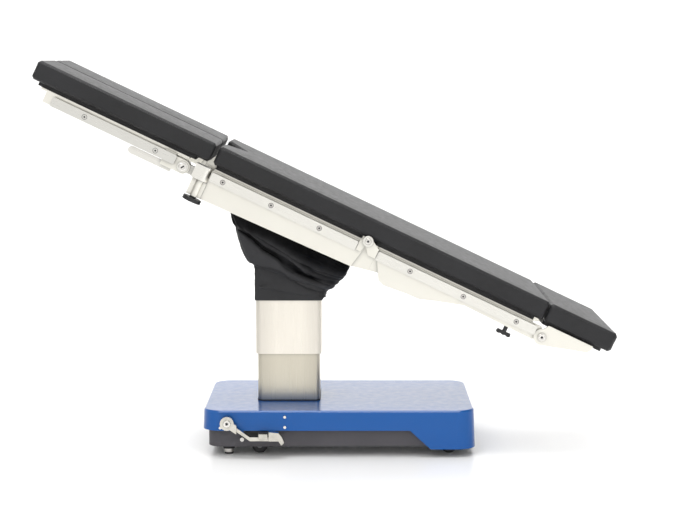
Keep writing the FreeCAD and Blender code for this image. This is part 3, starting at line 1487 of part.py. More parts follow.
def band(lower, upper):
    """Flat faces between two rings of as many points."""
    faces = []
    for i, corner in enumerate(lower):
        for triangle in ((lower[i - 1], corner, upper[i]), (lower[i - 1], upper[i], upper[i - 1])):
            faces.append(Part.Face(Part.makePolygon([*triangle, triangle[0]])))
    return faces


def bellows():
    """Soft bellows: a hollow shell from a hem round the upper cover to a rim inside the seat's covers."""
    outer = bellows_rings(SHEET.get("bellows_wall"))
    inner = bellows_rings(0)
    loop = outer + inner[::-1]
    faces = [face for i, ring in enumerate(loop) for face in band(loop[i - 1], ring)]
    feature = DOC.addObject("Part::Feature", "Bellows")
    feature.Shape = Part.makeSolid(Part.makeShell(faces))
    keep("bellows", feature)


def check_and_write():
    """Stop on any failed object or bad shape, then write one file per sub-part."""
    DOC.recompute()
    for thing in DOC.Objects:
        if "Invalid" in thing.State or "Error" in thing.State:
            raise RuntimeError("%s (%s) failed" % (thing.Name, thing.Label))
    for piece in SUBPARTS:
        if piece.Shape.isNull() or not piece.Shape.isValid():
            raise RuntimeError("%s has a bad shape" % piece.Label)
    os.makedirs("parts", exist_ok=True)
    for piece in SUBPARTS:
        piece.Shape.exportStep("parts/%s.step" % piece.Label)


def main():
    """Build every sub-part in turn."""
    fill_sheet()
    base_cover()
    base_skirt()
    base_frame()
    shaft_bushes()
    cover_screws()
    pedal_stop()
    brake_shaft()
    brake_pedal()
    brake_feet()
    castors()
    column_covers()
    lift_ram()
    column_head()
    bellows()
    tilt_cross()
    seat_frame()
    seat_panels()
    rails()
    boards()
    seat_pad()
    back_pad()
    folding_foam()
    back_frame()
    hinge_pins()
    head_section()
    head_knobs()
    for name, side in SIDES.items():
        leg(name, side)
    check_and_write()


main()
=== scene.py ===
import math

import bmesh
import bpy
import numpy as np
from mathutils import Matrix, Vector, noise
from mathutils.bvhtree import BVHTree


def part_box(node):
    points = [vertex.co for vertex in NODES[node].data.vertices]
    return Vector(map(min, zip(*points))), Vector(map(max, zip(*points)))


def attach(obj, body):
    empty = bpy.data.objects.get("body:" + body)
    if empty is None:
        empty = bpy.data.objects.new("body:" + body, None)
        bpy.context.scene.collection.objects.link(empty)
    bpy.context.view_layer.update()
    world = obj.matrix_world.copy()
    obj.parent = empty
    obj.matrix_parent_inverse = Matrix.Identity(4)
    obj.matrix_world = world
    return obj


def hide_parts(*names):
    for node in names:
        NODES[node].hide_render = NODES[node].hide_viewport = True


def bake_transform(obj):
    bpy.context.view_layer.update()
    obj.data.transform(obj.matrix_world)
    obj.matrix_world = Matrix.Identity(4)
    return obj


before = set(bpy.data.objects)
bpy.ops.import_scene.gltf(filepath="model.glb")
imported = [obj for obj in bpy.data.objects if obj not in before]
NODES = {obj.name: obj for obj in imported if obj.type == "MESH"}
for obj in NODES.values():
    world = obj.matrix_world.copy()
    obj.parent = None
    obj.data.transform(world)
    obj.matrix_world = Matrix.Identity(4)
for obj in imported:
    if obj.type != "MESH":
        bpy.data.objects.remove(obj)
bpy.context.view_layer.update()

SIDES = {"near": -1, "far": 1}

# The table top's own frame, in metres: along it, across it and square to it, from the tilt axis.
TILT = math.radians(25.5)
COLUMN_X = -0.129
PIVOT = Vector((COLUMN_X, 0.0, 0.700))
FOOT_REACH = 0.926
DECK = 0.1755
TABLE = Matrix.Translation(PIVOT) @ Matrix.Rotation(TILT, 4, "Y")

PAD_THICK = 0.062
PAD_HALF = 0.270
LEG_LENGTH = 0.6065
SEAT_START = 0.6185
BACK_HINGE = 1.159
BACK_END = 1.762
HEAD_START = 1.766
TOP_LENGTH = 2.000


def on_table(along, depth, y=0.0):
    """A point of the table top, from its distance to the foot end and its depth below the pads."""
    return TABLE @ Vector((along - FOOT_REACH, y, DECK - depth))


# Small helpers


def assign(thing, values):
    """Set several attributes of a Blender item and return it."""
    for key, value in values.items():
        setattr(thing, key, value)
    return thing


def modify(thing, kind, **values):
    """Add a modifier with its settings."""
    return assign(thing.modifiers.new(kind.lower(), kind), values)


def link(data, name):
    """A new object for a mesh, curve, light or lens."""
    thing = bpy.data.objects.new(name, data)
    bpy.context.scene.collection.objects.link(thing)
    return thing


def from_bmesh(shape, name, matrix=None):
    """A new object from a bmesh, moved into the row frame."""
    if matrix is not None:
        bmesh.ops.transform(shape, matrix=matrix, verts=shape.verts)
    bmesh.ops.recalc_face_normals(shape, faces=shape.faces)
    mesh = bpy.data.meshes.new(name)
    shape.to_mesh(mesh)
    shape.free()
    return link(mesh, name)


def freeze(thing):
    """Apply every modifier of an object to its mesh."""
    graph = bpy.context.evaluated_depsgraph_get()
    mesh = bpy.data.meshes.new_from_object(thing.evaluated_get(graph))
    thing.modifiers.clear()
    old = thing.data
    thing.data = mesh
    mesh.name = thing.name
    bpy.data.meshes.remove(old)


def smooth(thing):
    """Shade every face smooth."""
    for face in thing.data.polygons:
        face.use_smooth = True
    return thing


def dress(thing, material):
    """Give an object its material."""
    thing.data.materials.clear()
    thing.data.materials.append(material)


def coordinates(thing):
    """The vertex positions as an array."""
    points = np.empty(len(thing.data.vertices) * 3)
    thing.data.vertices.foreach_get("co", points)
    return points.reshape(-1, 3)


def set_coordinates(thing, points):
    """Write the vertex positions back."""
    thing.data.vertices.foreach_set("co", points.astype(np.float32).ravel())
    thing.data.update()


def rounded(corners, steps=6):
    """A closed outline from corner points, each (x, y, radius)."""
    points = []
    count = len(corners)
    for number, (x, y, radius) in enumerate(corners):
        here = Vector((x, y))
        before = Vector(corners[number - 1][:2]) - here
        after = Vector(corners[(number + 1) % count][:2]) - here
        half = before.angle(after) / 2
        reach = radius / math.tan(half)
        start = here + before.normalized() * reach
        end = here + after.normalized() * reach
        middle = here + (before.normalized() + after.normalized()).normalized() * (radius / math.sin(half))
        first = start - middle
        turn = first.angle_signed(end - middle)
        for step in range(steps + 1):
            points.append(middle + Matrix.Rotation(-turn * step / steps, 2) @ first)
    return points


def skin(shape, rings):
    """Quads between closed rings of a bmesh's vertices."""
    for lower, upper in zip(rings, rings[1:]):
        for i in range(len(lower)):
            j = (i + 1) % len(lower)
            shape.faces.new((lower[i], lower[j], upper[j], upper[i]))


def prism(outline, low, high, name, matrix):
    """A closed upright solid over an outline."""
    shape = bmesh.new()
    rings = [[shape.verts.new((p.x, p.y, level)) for p in outline] for level in (low, high)]
    for ring in rings:
        shape.faces.new(ring)
    skin(shape, rings)
    return from_bmesh(shape, name, matrix)


def tube_along(points, radius, name):
    """A thin round bead that follows a closed line of points of the row frame."""
    curve = bpy.data.curves.new(name, "CURVE")
    curve.dimensions = "3D"
    curve.bevel_depth = radius
    curve.bevel_resolution = 2
    line = curve.splines.new("POLY")
    line.points.add(len(points) - 1)
    for point, place in zip(line.points, points):
        point.co = (*place, 1.0)
    line.use_cyclic_u = True
    made = link(curve, name)
    graph = bpy.context.evaluated_depsgraph_get()
    mesh = bpy.data.meshes.new_from_object(made.evaluated_get(graph))
    bpy.data.objects.remove(made)
    return smooth(link(mesh, name))


# Materials


def scaled(color, share):
    """A colour made lighter or darker."""
    return tuple(part * share for part in color)


class Shader:
    """A Principled material and short ways to add nodes to it."""

    def __init__(self, name, color, roughness, metallic=0.0, **sockets):
        self.material = bpy.data.materials.new(name)
        self.material.use_nodes = True
        self.tree = self.material.node_tree
        self.principled = next(n for n in self.tree.nodes if n.type == "BSDF_PRINCIPLED")
        self.set("Base Color", (*color, 1.0))
        self.set("Roughness", roughness)
        self.set("Metallic", metallic)
        for key, value in sockets.items():
            self.set(key.replace("_", " "), value)
        self.place = self.node("ShaderNodeTexCoord").outputs["Object"]
        self.height = None

    def set(self, socket, value):
        """Set a number or colour that is the same all over."""
        self.principled.inputs[socket].default_value = value

    def node(self, kind, **settings):
        """A new node with some of its settings."""
        return assign(self.tree.nodes.new(kind), settings)

    def join(self, output, target):
        """Link an output to an input."""
        self.tree.links.new(output, target)

    def mapped(self, scale, turn):
        """Object coordinates, turned and then stretched."""
        turned = self.node("ShaderNodeMapping", vector_type="POINT")
        turned.inputs["Rotation"].default_value = turn
        self.join(self.place, turned.inputs["Vector"])
        stretched = self.node("ShaderNodeMapping", vector_type="POINT")
        stretched.inputs["Scale"].default_value = scale
        self.join(turned.outputs["Vector"], stretched.inputs["Vector"])
        return stretched.outputs["Vector"]

    def noise(self, scale, detail=3.0, vector=None, distortion=0.0):
        """Soft noise around 0.5."""
        made = self.node("ShaderNodeTexNoise")
        made.inputs["Scale"].default_value = scale
        made.inputs["Detail"].default_value = detail
        made.inputs["Distortion"].default_value = distortion
        self.join(vector or self.place, made.inputs["Vector"])
        return made.outputs["Fac"]

    def cells(self, scale):
        """Distance to the edges of small cells."""
        made = self.node("ShaderNodeTexVoronoi", feature="DISTANCE_TO_EDGE")
        made.inputs["Scale"].default_value = scale
        self.join(self.place, made.inputs["Vector"])
        return made.outputs["Distance"]

    def ramp(self, value, low, high, first, second):
        """A number between two results as a value goes from low to high."""
        made = self.node("ShaderNodeMapRange")
        for key, number in (("From Min", low), ("From Max", high), ("To Min", first), ("To Max", second)):
            made.inputs[key].default_value = number
        self.join(value, made.inputs["Value"])
        return made.outputs["Result"]

    def clouds(self, scale):
        """Soft patches from 0 to 1."""
        return self.ramp(self.noise(scale), 0.3, 0.7, 0.0, 1.0)

    def vary_color(self, value, first, second):
        """Mix two base colours by a value between 0 and 1."""
        self.set("Base Color", (*first, 1.0))
        self.shade(value, second)

    def shade(self, value, color):
        """Blend the base colour towards another one by a value between 0 and 1."""
        target = self.principled.inputs["Base Color"]
        mix = self.node("ShaderNodeMix", data_type="RGBA")
        if target.links:
            self.join(target.links[0].from_socket, mix.inputs["A"])
        else:
            mix.inputs["A"].default_value = target.default_value
        mix.inputs["B"].default_value = (*color, 1.0)
        self.join(value, mix.inputs["Factor"])
        self.join(mix.outputs["Result"], target)

    def creases(self, reach, color, most=0.85):
        """Painted shade where surfaces meet or nearly touch: ambient occlusion darkens the base colour."""
        closed = self.node("ShaderNodeAmbientOcclusion", samples=8)
        closed.inputs["Distance"].default_value = reach
        self.shade(self.ramp(closed.outputs["AO"], 0.35, 0.95, most, 0.0), color)

    def axis(self, name):
        """One object coordinate."""
        split = self.node("ShaderNodeSeparateXYZ")
        self.join(self.place, split.inputs["Vector"])
        return split.outputs[name]

    def vary_roughness(self, value, first, second, low=0.3, high=0.7):
        """Roughness between two values as a value goes from low to high."""
        self.join(self.ramp(value, low, high, first, second), self.principled.inputs["Roughness"])

    def bump(self, value, strength, distance):
        """Add one layer of relief."""
        made = self.node("ShaderNodeBump")
        made.inputs["Strength"].default_value = strength
        made.inputs["Distance"].default_value = distance
        self.join(value, made.inputs["Height"])
        if self.height:
            self.join(self.height, made.inputs["Normal"])
        self.height = made.outputs["Normal"]
        self.join(self.height, self.principled.inputs["Normal"])


def leatherette():
    """Black welded pad cover: fine grain, soft dents and a slight bloom."""
    shader = Shader("pad_cover", (0.011, 0.011, 0.012), 0.5, Specular_IOR_Level=0.40)
    shader.set("Sheen Weight", 0.08)
    shader.set("Sheen Roughness", 0.4)
    patches = shader.ramp(shader.noise(5.0, 4.0), 0.35, 0.68, 0.0, 1.0)
    shader.vary_color(patches, (0.010, 0.010, 0.011), (0.015, 0.015, 0.017))
    shader.vary_roughness(shader.noise(60.0, 2.0), 0.42, 0.54)
    shader.bump(shader.cells(1150.0), 0.16, 0.0004)
    shader.bump(shader.noise(420.0, 3.0), 0.10, 0.0005)
    shader.bump(shader.noise(9.0, 2.0), 0.10, 0.004)
    return shader.material


def bellows_cloth():
    """Coated black cloth with a fine weave; its colour carries painted light and shade from the folds,
    lighter where it stands open and darker in its creases and where it faces down.
    """
    shader = Shader("bellows_cloth", (0.02, 0.02, 0.022), 0.5, Specular_IOR_Level=0.035)
    painted_shading = shader.node("ShaderNodeAttribute", attribute_name="painted_shading").outputs["Fac"]
    patches = shader.ramp(shader.noise(14.0), 0.3, 0.7, -0.06, 0.06)
    both = shader.node("ShaderNodeMath", operation="ADD", use_clamp=True)
    shader.join(painted_shading, both.inputs[0])
    shader.join(patches, both.inputs[1])
    # Painted light and shade from the folds, with random patches, blend the cloth from near black to dark
    # grey.
    shader.vary_color(both.outputs["Value"], (0.0014, 0.0014, 0.0015), (0.052, 0.052, 0.054))
    weave = shader.node("ShaderNodeTexWave", wave_type="BANDS", bands_direction="DIAGONAL")
    weave.inputs["Scale"].default_value = 420.0
    shader.join(shader.place, weave.inputs["Vector"])
    shader.bump(weave.outputs["Fac"], 0.05, 0.0003)
    shader.bump(shader.noise(38.0, 4.0, distortion=0.6), 0.16, 0.003)
    shader.vary_roughness(shader.noise(25.0), 0.42, 0.58)
    return shader.material


def brushed(name, color, stretch, turn=(0, 0, 0), rough=(0.26, 0.34)):
    """Brushed stainless steel with painted shade where it meets other parts; stretch gives the grain's scale
    on each axis.
    """
    shader = Shader(name, color, 0.3, 1.0)
    lines = shader.noise(1.0, 3.0, shader.mapped(stretch, turn))
    shader.vary_roughness(lines, *rough)
    patches = shader.ramp(shader.noise(3.5), 0.35, 0.7, 0.0, 1.0)
    shader.vary_color(patches, color, scaled(color, 0.965))
    # Painted shade in the gaps and corners between parts.
    shader.creases(0.016, scaled(color, 0.30))
    shader.bump(lines, 0.015, 0.0001)
    return shader


def column_steel(name, color, foot=None):
    """Brushed column cover with painted shade towards its corners; foot is where a painted reflection of the
    blue base starts, as a dark blue-grey band.
    """
    shader = brushed(name, color, (1300, 1300, 3.0), rough=(0.27, 0.30))
    # Painted shade: the colour darkens with distance from the column's middle.
    aside = shader.node("ShaderNodeMath", operation="ABSOLUTE")
    middle = shader.node("ShaderNodeMath", operation="SUBTRACT")
    shader.join(shader.axis("X"), middle.inputs[0])
    middle.inputs[1].default_value = COLUMN_X
    shader.join(middle.outputs["Value"], aside.inputs[0])
    shader.shade(shader.ramp(aside.outputs["Value"], 0.040, 0.105, 0.0, 0.42), scaled(color, 0.55))
    # Painted reflection of the blue base: a blue-grey band at the cover's foot.
    if foot:
        shader.shade(shader.ramp(shader.axis("Z"), foot, foot + 0.026, 0.75, 0.0), (0.17, 0.215, 0.29))
    return shader


def enamel():
    """Glossy blue lacquer with faint orange peel."""
    shader = Shader("blue_cover", (0.001, 0.088, 0.35), 0.35, Specular_IOR_Level=0.1)
    shader.set("Coat Weight", 1.0)
    shader.set("Coat IOR", 1.36)
    shader.set("Coat Roughness", 0.045)
    shader.vary_color(shader.clouds(2.2), (0.001, 0.086, 0.342), (0.001, 0.090, 0.352))
    shader.vary_roughness(shader.noise(40.0), 0.30, 0.40)
    shader.bump(shader.noise(9.0, 1.0), 0.02, 0.0006)
    return shader.material


def grained(name, color, roughness, grain, depth, **sockets):
    """Moulded plastic, rubber or paint with a fine grain."""
    shader = Shader(name, color, roughness, **sockets)
    shader.vary_color(shader.clouds(7.0), color, scaled(color, 1.25))
    shader.vary_roughness(shader.noise(grain / 6), roughness * 0.9, min(1.0, roughness * 1.12))
    shader.bump(shader.noise(grain, 2.0), 0.25, depth)
    return shader.material


def metal(name, color, rough, grain=240.0, relief=0.05, uneven=0.9):
    """Cast, turned or plated metal with a fine unevenness and painted shade where it meets other parts."""
    shader = Shader(name, color, rough, 1.0)
    shader.vary_roughness(shader.noise(grain / 5), rough * 0.8, rough * 1.25)
    shader.vary_color(shader.clouds(26.0), color, scaled(color, uneven))
    # Painted shade in the gaps and corners between parts.
    shader.creases(0.014, scaled(color, 0.25))
    shader.bump(shader.noise(grain, 3.0), relief, 0.0004)
    return shader.material


def foot_metal():
    """Brake foot: black sole, steel stem, black collar, told apart by height."""
    shader = Shader("brake_foot", (0.6, 0.58, 0.55), 0.3, 1.0)
    height = shader.ramp(shader.axis("Z"), 0.0, 0.1, 0.0, 1.0)
    ramp = shader.node("ShaderNodeValToRGB")
    ramp.color_ramp.interpolation = "CONSTANT"
    stops = ramp.color_ramp.elements
    stops.remove(stops[1])
    for place, shade in ((0.06, 1), (0.175, 0), (0.335, 1)):
        stops.new(place).color = (shade, shade, shade, 1)
    shader.join(height, ramp.inputs["Fac"])
    steel = ramp.outputs["Color"]
    shader.vary_color(steel, (0.015, 0.015, 0.016), (0.62, 0.60, 0.57))
    shader.join(steel, shader.principled.inputs["Metallic"])
    shader.vary_roughness(steel, 0.62, 0.24, 0.0, 1.0)
    shader.bump(shader.noise(320.0), 0.06, 0.0004)
    return shader.material


IVORY = (0.845, 0.825, 0.755)
SLOPED = (0, -TILT, 0)
MATERIALS = {
    "pad_cover": leatherette(),
    "bellows_cloth": bellows_cloth(),
    "along": brushed("stainless_along", (0.80, 0.785, 0.735), (5, 900, 900), SLOPED).material,
    "leg_rail": brushed("stainless_leg_rail", (0.70, 0.69, 0.65), (5, 900, 900), SLOPED).material,
    "panel": brushed("stainless_panel", IVORY, (4, 500, 500), SLOPED, (0.32, 0.40)).material,
    "upright": column_steel("stainless_column", (0.83, 0.785, 0.705)).material,
    # The lower stage is the column's steel made darker: painted shade.
    "lower_upright": column_steel("stainless_stage", (0.61, 0.57, 0.475), 0.155).material,
    "blue_cover": enamel(),
    "grey_skirt": grained("grey_skirt", (0.062, 0.059, 0.067), 0.55, 500.0, 0.0005),
    "painted_steel": grained("painted_steel", (0.20, 0.205, 0.21), 0.45, 320.0, 0.0003),
    "chromed_steel": metal("chromed_steel", (0.80, 0.78, 0.74), 0.14),
    "pedal": metal("pedal_casting", (0.74, 0.715, 0.645), 0.22, 150.0, 0.14, 0.66),
    "screw": metal("screw_steel", (0.62, 0.60, 0.57), 0.22),
    "bronze": metal("bronze", (0.62, 0.45, 0.22), 0.35),
    "black_rubber": grained("black_rubber", (0.014, 0.014, 0.015), 0.68, 380.0, 0.0004),
    "tyre": grained("tyre", (0.020, 0.020, 0.021), 0.6, 260.0, 0.0005),
    "black_plastic": grained("black_plastic", (0.014, 0.014, 0.015), 0.4, 420.0, 0.0003),
    "black_board": grained("black_board", (0.010, 0.010, 0.011), 0.5, 300.0, 0.0003),
    "brake_foot": foot_metal(),
}

# The first of these words that a CAD node's name holds gives its material, and else it is rail steel.
NODE_MATERIALS = (
    ("base_cover", "blue_cover"), ("base_skirt", "grey_skirt"), ("base_frame", "painted_steel"),
    ("cover_screws", "chromed_steel"), ("seat_rail_screws", "screw"), ("back_rail_screws", "screw"),
    ("pedal_stop", "screw"), ("brake_pedal", "pedal"), ("brake_shaft", "chromed_steel"),
    ("shaft_bushes", "bronze"), ("column_lower_cover", "lower_upright"), ("column_upper_cover", "upright"),
    ("gasket", "black_rubber"), ("lift_cylinder", "painted_steel"), ("lift_rod", "chromed_steel"),
    ("column_head", "painted_steel"), ("tilt_cross", "painted_steel"),
    ("seat_frame", "panel"), ("seat_panels", "panel"), ("back_frame", "panel"), ("head_frame", "panel"),
    ("board", "black_board"), ("leg_rail", "leg_rail"), ("leg_frame", "panel"), ("wheel", "tyre"),
    ("fork", "painted_steel"), ("knob", "black_plastic"), ("brake_foot", "brake_foot"),
    ("pad", "pad_cover"), ("bellows", "bellows_cloth"),
)
SOFT_EDGE = 0.0006
SHARPEST = math.radians(40)


def dress_nodes():
    """Every CAD node gets a procedural material and narrow shaded edges."""
    for name, node in NODES.items():
        material = next((made for word, made in NODE_MATERIALS if word in name), "along")
        dress(node, MATERIALS[material])
        smooth(node)
        modify(node, "BEVEL", width=SOFT_EDGE, segments=2, limit_method="ANGLE", angle_limit=SHARPEST,
               harden_normals=True)


# Cloth simulation


def simulate(thing, frames, gravity=1.0, **values):
    """Run a cloth simulation without collisions and keep its last shape as the mesh."""
    cloth = modify(thing, "CLOTH")
    assign(cloth.settings, values)
    cloth.settings.effector_weights.gravity = gravity
    cloth.collision_settings.use_collision = False
    assign(cloth.point_cache, {"frame_start": 1, "frame_end": frames})
    scene = bpy.context.scene
    for number in range(1, frames + 1):
        scene.frame_set(number)
    freeze(thing)
    scene.frame_set(1)


def capped(start, points, cap):
    """Points that have moved from their start, by no more than a cap."""
    moved = points - start
    length = np.linalg.norm(moved, axis=1)
    share = np.minimum(1.0, cap / np.maximum(length, 1e-9))
    return start + moved * share[:, None]


# Pads


SWELL_FRAMES = 18
PRESSURE = 4.0
SWELL_CAP = 0.0035
VOXEL = 0.0075
SHRINK = 0.0022
# Radius of the welded edges, how often a pad is drawn to its outline, and how much of a face's
# swell goes at the edge and beyond the reach.
EDGE = 0.0046
TIGHTEN_ROUNDS = 3
PULL_REACH = (0.010, 0.040)
FACE_PULL = 0.4
CROWN = 0.0016
CROWN_REACH = 0.09
CROWN_CAP = 0.004
TOP_BAND = 0.02
DENT = 0.0010
DENT_SCALE = 6.0
SEAM = 0.0009
SEAM_STEP = 0.03
SEAM_FROM_TOP = 0.0065
SEAM_FROM_BOTTOM = 0.0075
CORNER = 0.006


def swell(thing, bottom):
    """Swell a closed pad a little with Blender's cloth."""
    before = coordinates(thing)
    simulate(
        thing, SWELL_FRAMES, gravity=0, quality=5, mass=0.4, tension_stiffness=25, shear_stiffness=12,
        compression_stiffness=25, bending_stiffness=3, use_pressure=True, uniform_pressure_force=PRESSURE,
    )
    points = capped(before, coordinates(thing), SWELL_CAP)
    points[:, 2] = np.maximum(points[:, 2], bottom)
    set_coordinates(thing, points)


def pad(name, corners, nodes):
    """A foam pad in a welded cover, and its two seams.

    Each corner gives its distance from the foot end, its place across the top and its radius.
    """
    corners = [(distance - FOOT_REACH, y, radius) for distance, y, radius in corners]
    low, high = DECK - PAD_THICK, DECK
    outline = rounded(corners)
    thing = prism(inset(outline, SHRINK), low, high - SHRINK, name, Matrix())
    modify(thing, "REMESH", mode="VOXEL", voxel_size=VOXEL)
    freeze(thing)
    swell(thing, low)
    modify(thing, "SMOOTH", factor=0.5, iterations=2)
    modify(thing, "SUBSURF", levels=1, render_levels=1)
    freeze(thing)
    points = coordinates(thing)
    for _ in range(TIGHTEN_ROUNDS):
        points = tighten(points, outline, low, high)
    points = crown(points, outline)
    points[:, 2] = np.maximum(points[:, 2], low)
    set_coordinates(thing, points)
    thing.data.transform(TABLE)
    smooth(thing)
    dress(thing, MATERIALS["pad_cover"])
    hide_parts(*nodes)
    return [thing, *seams(name, thing, corners, low, high)]


def outline_distance(points, outline):
    """How far points lie outside a closed outline, less than 0 inside, and the way out."""
    best = np.full(len(points), np.inf)
    nearest = np.zeros((len(points), 2))
    inside = np.zeros(len(points), bool)
    x, y = points[:, 0], points[:, 1]
    for i, end in enumerate(outline):
        a, b = np.array(outline[i - 1]), np.array(end)
        run = b - a
        share = np.clip(((points - a) @ run) / max(run @ run, 1e-12), 0, 1)
        foot = a + share[:, None] * run
        gap = np.linalg.norm(points - foot, axis=1)
        closer = gap < best
        best = np.where(closer, gap, best)
        nearest[closer] = foot[closer]
        if a[1] != b[1]:
            crosses = (a[1] > y) != (b[1] > y)
            inside ^= crosses & (x < a[0] + (y - a[1]) / run[1] * run[0])
    sign = np.where(inside, -1.0, 1.0)
    away = (points - nearest) * sign[:, None]
    away /= np.maximum(np.linalg.norm(away, axis=1), 1e-9)[:, None]
    return best * sign, away


def tighten(points, outline, low, high):
    """Draw a pad to its outline with narrow rounded edges; its open faces keep most of their swell."""
    aside, away = outline_distance(points[:, :2], outline)
    level = points[:, 2] - (low + high) / 2
    above = np.abs(level) - (high - low) / 2
    out, up = aside + EDGE, above + EDGE
    on_edge = (out > 0) & (up > 0)
    reach = np.hypot(out, up)
    sideways = out > up
    gap = np.where(on_edge, reach - EDGE, np.where(sideways, aside, above))
    share_out = np.where(on_edge, out / np.maximum(reach, 1e-9), sideways.astype(float))
    share_up = np.where(on_edge, up / np.maximum(reach, 1e-9), (~sideways).astype(float))
    normal = np.column_stack((away * share_out[:, None], np.sign(level) * share_up))
    from_edge = np.maximum(-aside, -above)
    pull = np.interp(from_edge, PULL_REACH, (1.0, FACE_PULL))
    return points - normal * (gap * pull)[:, None]


def inset(outline, by):
    """An outline moved inwards."""
    count = len(outline)
    area = sum(outline[i - 1].x * outline[i].y - outline[i].x * outline[i - 1].y for i in range(count))
    sign = 1 if area > 0 else -1
    moved = []
    for i, point in enumerate(outline):
        run = outline[(i + 1) % count] - outline[i - 1]
        normal = Vector((-run.y, run.x)).normalized() * sign
        moved.append(point + normal * by)
    return moved


def crown(points, outline):
    """Raise the top a little towards the middle, and leave faint dents of use."""
    inward = -outline_distance(points[:, :2], outline)[0]
    top = points[:, 2] > DECK - TOP_BAND
    share = np.clip(inward / CROWN_REACH, 0, 1)
    wander = np.array([noise.noise(Vector(p) * DENT_SCALE) for p in points])
    points[:, 2] += np.where(top, (CROWN + wander * DENT) * share, 0)
    points[:, 2] = np.minimum(points[:, 2], DECK + CROWN_CAP)
    return points


def seams(name, thing, corners, low, high):
    """Welded beads near the upper and lower edges, laid on the finished surface."""
    tree = BVHTree.FromObject(thing, bpy.context.evaluated_depsgraph_get())
    outline = rounded(corners, 8)
    dense = []
    for i, point in enumerate(outline):
        after = outline[(i + 1) % len(outline)]
        parts = max(1, int((after - point).length / SEAM_STEP))
        dense += [point.lerp(after, k / parts) for k in range(parts)]
    beads = []
    for tag, height in (("upper", high - SEAM_FROM_TOP), ("lower", low + SEAM_FROM_BOTTOM)):
        line = [tree.find_nearest(TABLE @ Vector((p.x, p.y, height)))[0] for p in dense]
        bead = tube_along(line, SEAM, "%s_seam_%s" % (name, tag))
        dress(bead, MATERIALS["pad_cover"])
        beads.append(bead)
    return beads


LEG_GAP = 0.0025
LEG_INNER_CORNER = 0.022
CUT_DEPTH = 0.072
CUT_HALF = 0.112
CUT_CORNER = 0.020
# Corner radii where the mattress and the head pad meet, and at the top's head end.
BUTT_CORNER = 0.005
END_CORNER = 0.009


def leg_pad(name, side):
    """One leg pad, with a wider radius at its inner foot corner."""
    inner, outer = LEG_GAP * side, PAD_HALF * side
    corners = [
        (0.0, inner, LEG_INNER_CORNER), (LEG_LENGTH, inner, CORNER),
        (LEG_LENGTH, outer, CORNER), (0.0, outer, CORNER),
    ]
    if side > 0:
        corners = corners[::-1]
    for piece in pad("leg_cushion_" + name, corners, ["leg_pad_" + name]):
        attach(piece, "leg_" + name)


def bend(pieces):
    """Bake each piece's place into its mesh."""
    for piece in pieces:
        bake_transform(piece)


def mattress():
    """Seat and back in one piece, with the cut-out."""
    corners = [
        (SEAT_START, -PAD_HALF, CORNER), (BACK_END, -PAD_HALF, BUTT_CORNER),
        (BACK_END, PAD_HALF, BUTT_CORNER), (SEAT_START, PAD_HALF, CORNER),
        (SEAT_START, CUT_HALF, CORNER), (SEAT_START + CUT_DEPTH, 0.0, CUT_CORNER),
        (SEAT_START, -CUT_HALF, CORNER),
    ]
    pieces = pad("mattress", corners, ["seat_pad", "pad_flex", "back_pad"])
    bend(pieces)


def head_pad():
    """The head pad."""
    corners = [
        (HEAD_START, -PAD_HALF, BUTT_CORNER), (TOP_LENGTH, -PAD_HALF, END_CORNER),
        (TOP_LENGTH, PAD_HALF, END_CORNER), (HEAD_START, PAD_HALF, BUTT_CORNER),
    ]
    pieces = pad("head_cushion", corners, ["head_pad", "head_pad_edge"])
    bend(pieces)


# Bellows


RING_POINTS = 180
LEVELS = 60
# The hung cloth from its hem up: foot edge x and z, head edge x and z, half depth, corner radius.
BELLOWS_PROFILE = (
    (-0.2394, 0.4830, -0.0186, 0.4830, 0.1079, 0.022),
    (-0.2394, 0.4900, -0.0160, 0.4868, 0.1079, 0.022),
    (-0.2395, 0.5310, -0.0085, 0.4933, 0.1082, 0.024),
    (-0.2418, 0.5801, -0.0075, 0.5147, 0.1087, 0.026),
    (-0.2444, 0.6030, -0.0023, 0.5233, 0.1095, 0.028),
    (-0.2575, 0.6110, 0.0104, 0.5265, 0.1180, 0.030),
    (-0.2704, 0.6210, 0.0199, 0.5358, 0.1280, 0.032),
    (-0.2782, 0.6365, 0.0291, 0.5481, 0.1400, 0.034),
    (-0.2860, 0.6599, 0.0436, 0.5573, 0.1550, 0.036),
    (-0.2936, 0.6904, 0.0488, 0.5686, 0.1720, 0.036),
    (-0.3009, 0.7281, 0.0582, 0.5754, 0.1920, 0.035),
    (-0.3090, 0.7552, 0.0640, 0.5890, 0.2170, 0.034),
    (-0.3073, 0.7861, 0.0700, 0.6062, 0.2390, 0.032),
)


def ring_at(half_long, half_deep, corner, count):
    """Points of a rounded rectangle, spread evenly round it, starting at the near side's middle."""
    flat_x, flat_y = half_long - corner, half_deep - corner
    arc = math.pi / 2 * corner
    around = [2 * flat_x, arc, 2 * flat_y, arc]
    runs = [flat_x, *around[1:], *around, flat_x]
    total = sum(runs)
    bends = [(flat_x, -flat_y, -90), (flat_x, flat_y, 0), (-flat_x, flat_y, 90), (-flat_x, -flat_y, 180)]
    # Where each straight run starts, and its direction.
    straights = [(0.0, -half_deep, 1, 0), (half_long, -flat_y, 0, 1), (flat_x, half_deep, -1, 0),
                 (-half_long, flat_y, 0, -1), (-flat_x, -half_deep, 1, 0)]
    points = []
    for i in range(count):
        rest = total * i / count
        run = 0
        while rest > runs[run]:
            rest -= runs[run]
            run += 1
        if run % 2:
            x, y, start = bends[run // 2]
            angle = math.radians(start) + rest / corner
            place = (x + corner * math.cos(angle), y + corner * math.sin(angle))
        else:
            x, y, run_x, run_y = straights[run // 2]
            place = (x + rest * run_x, y + rest * run_y)
        points.append(Vector((*place, 0.0)))
    return points


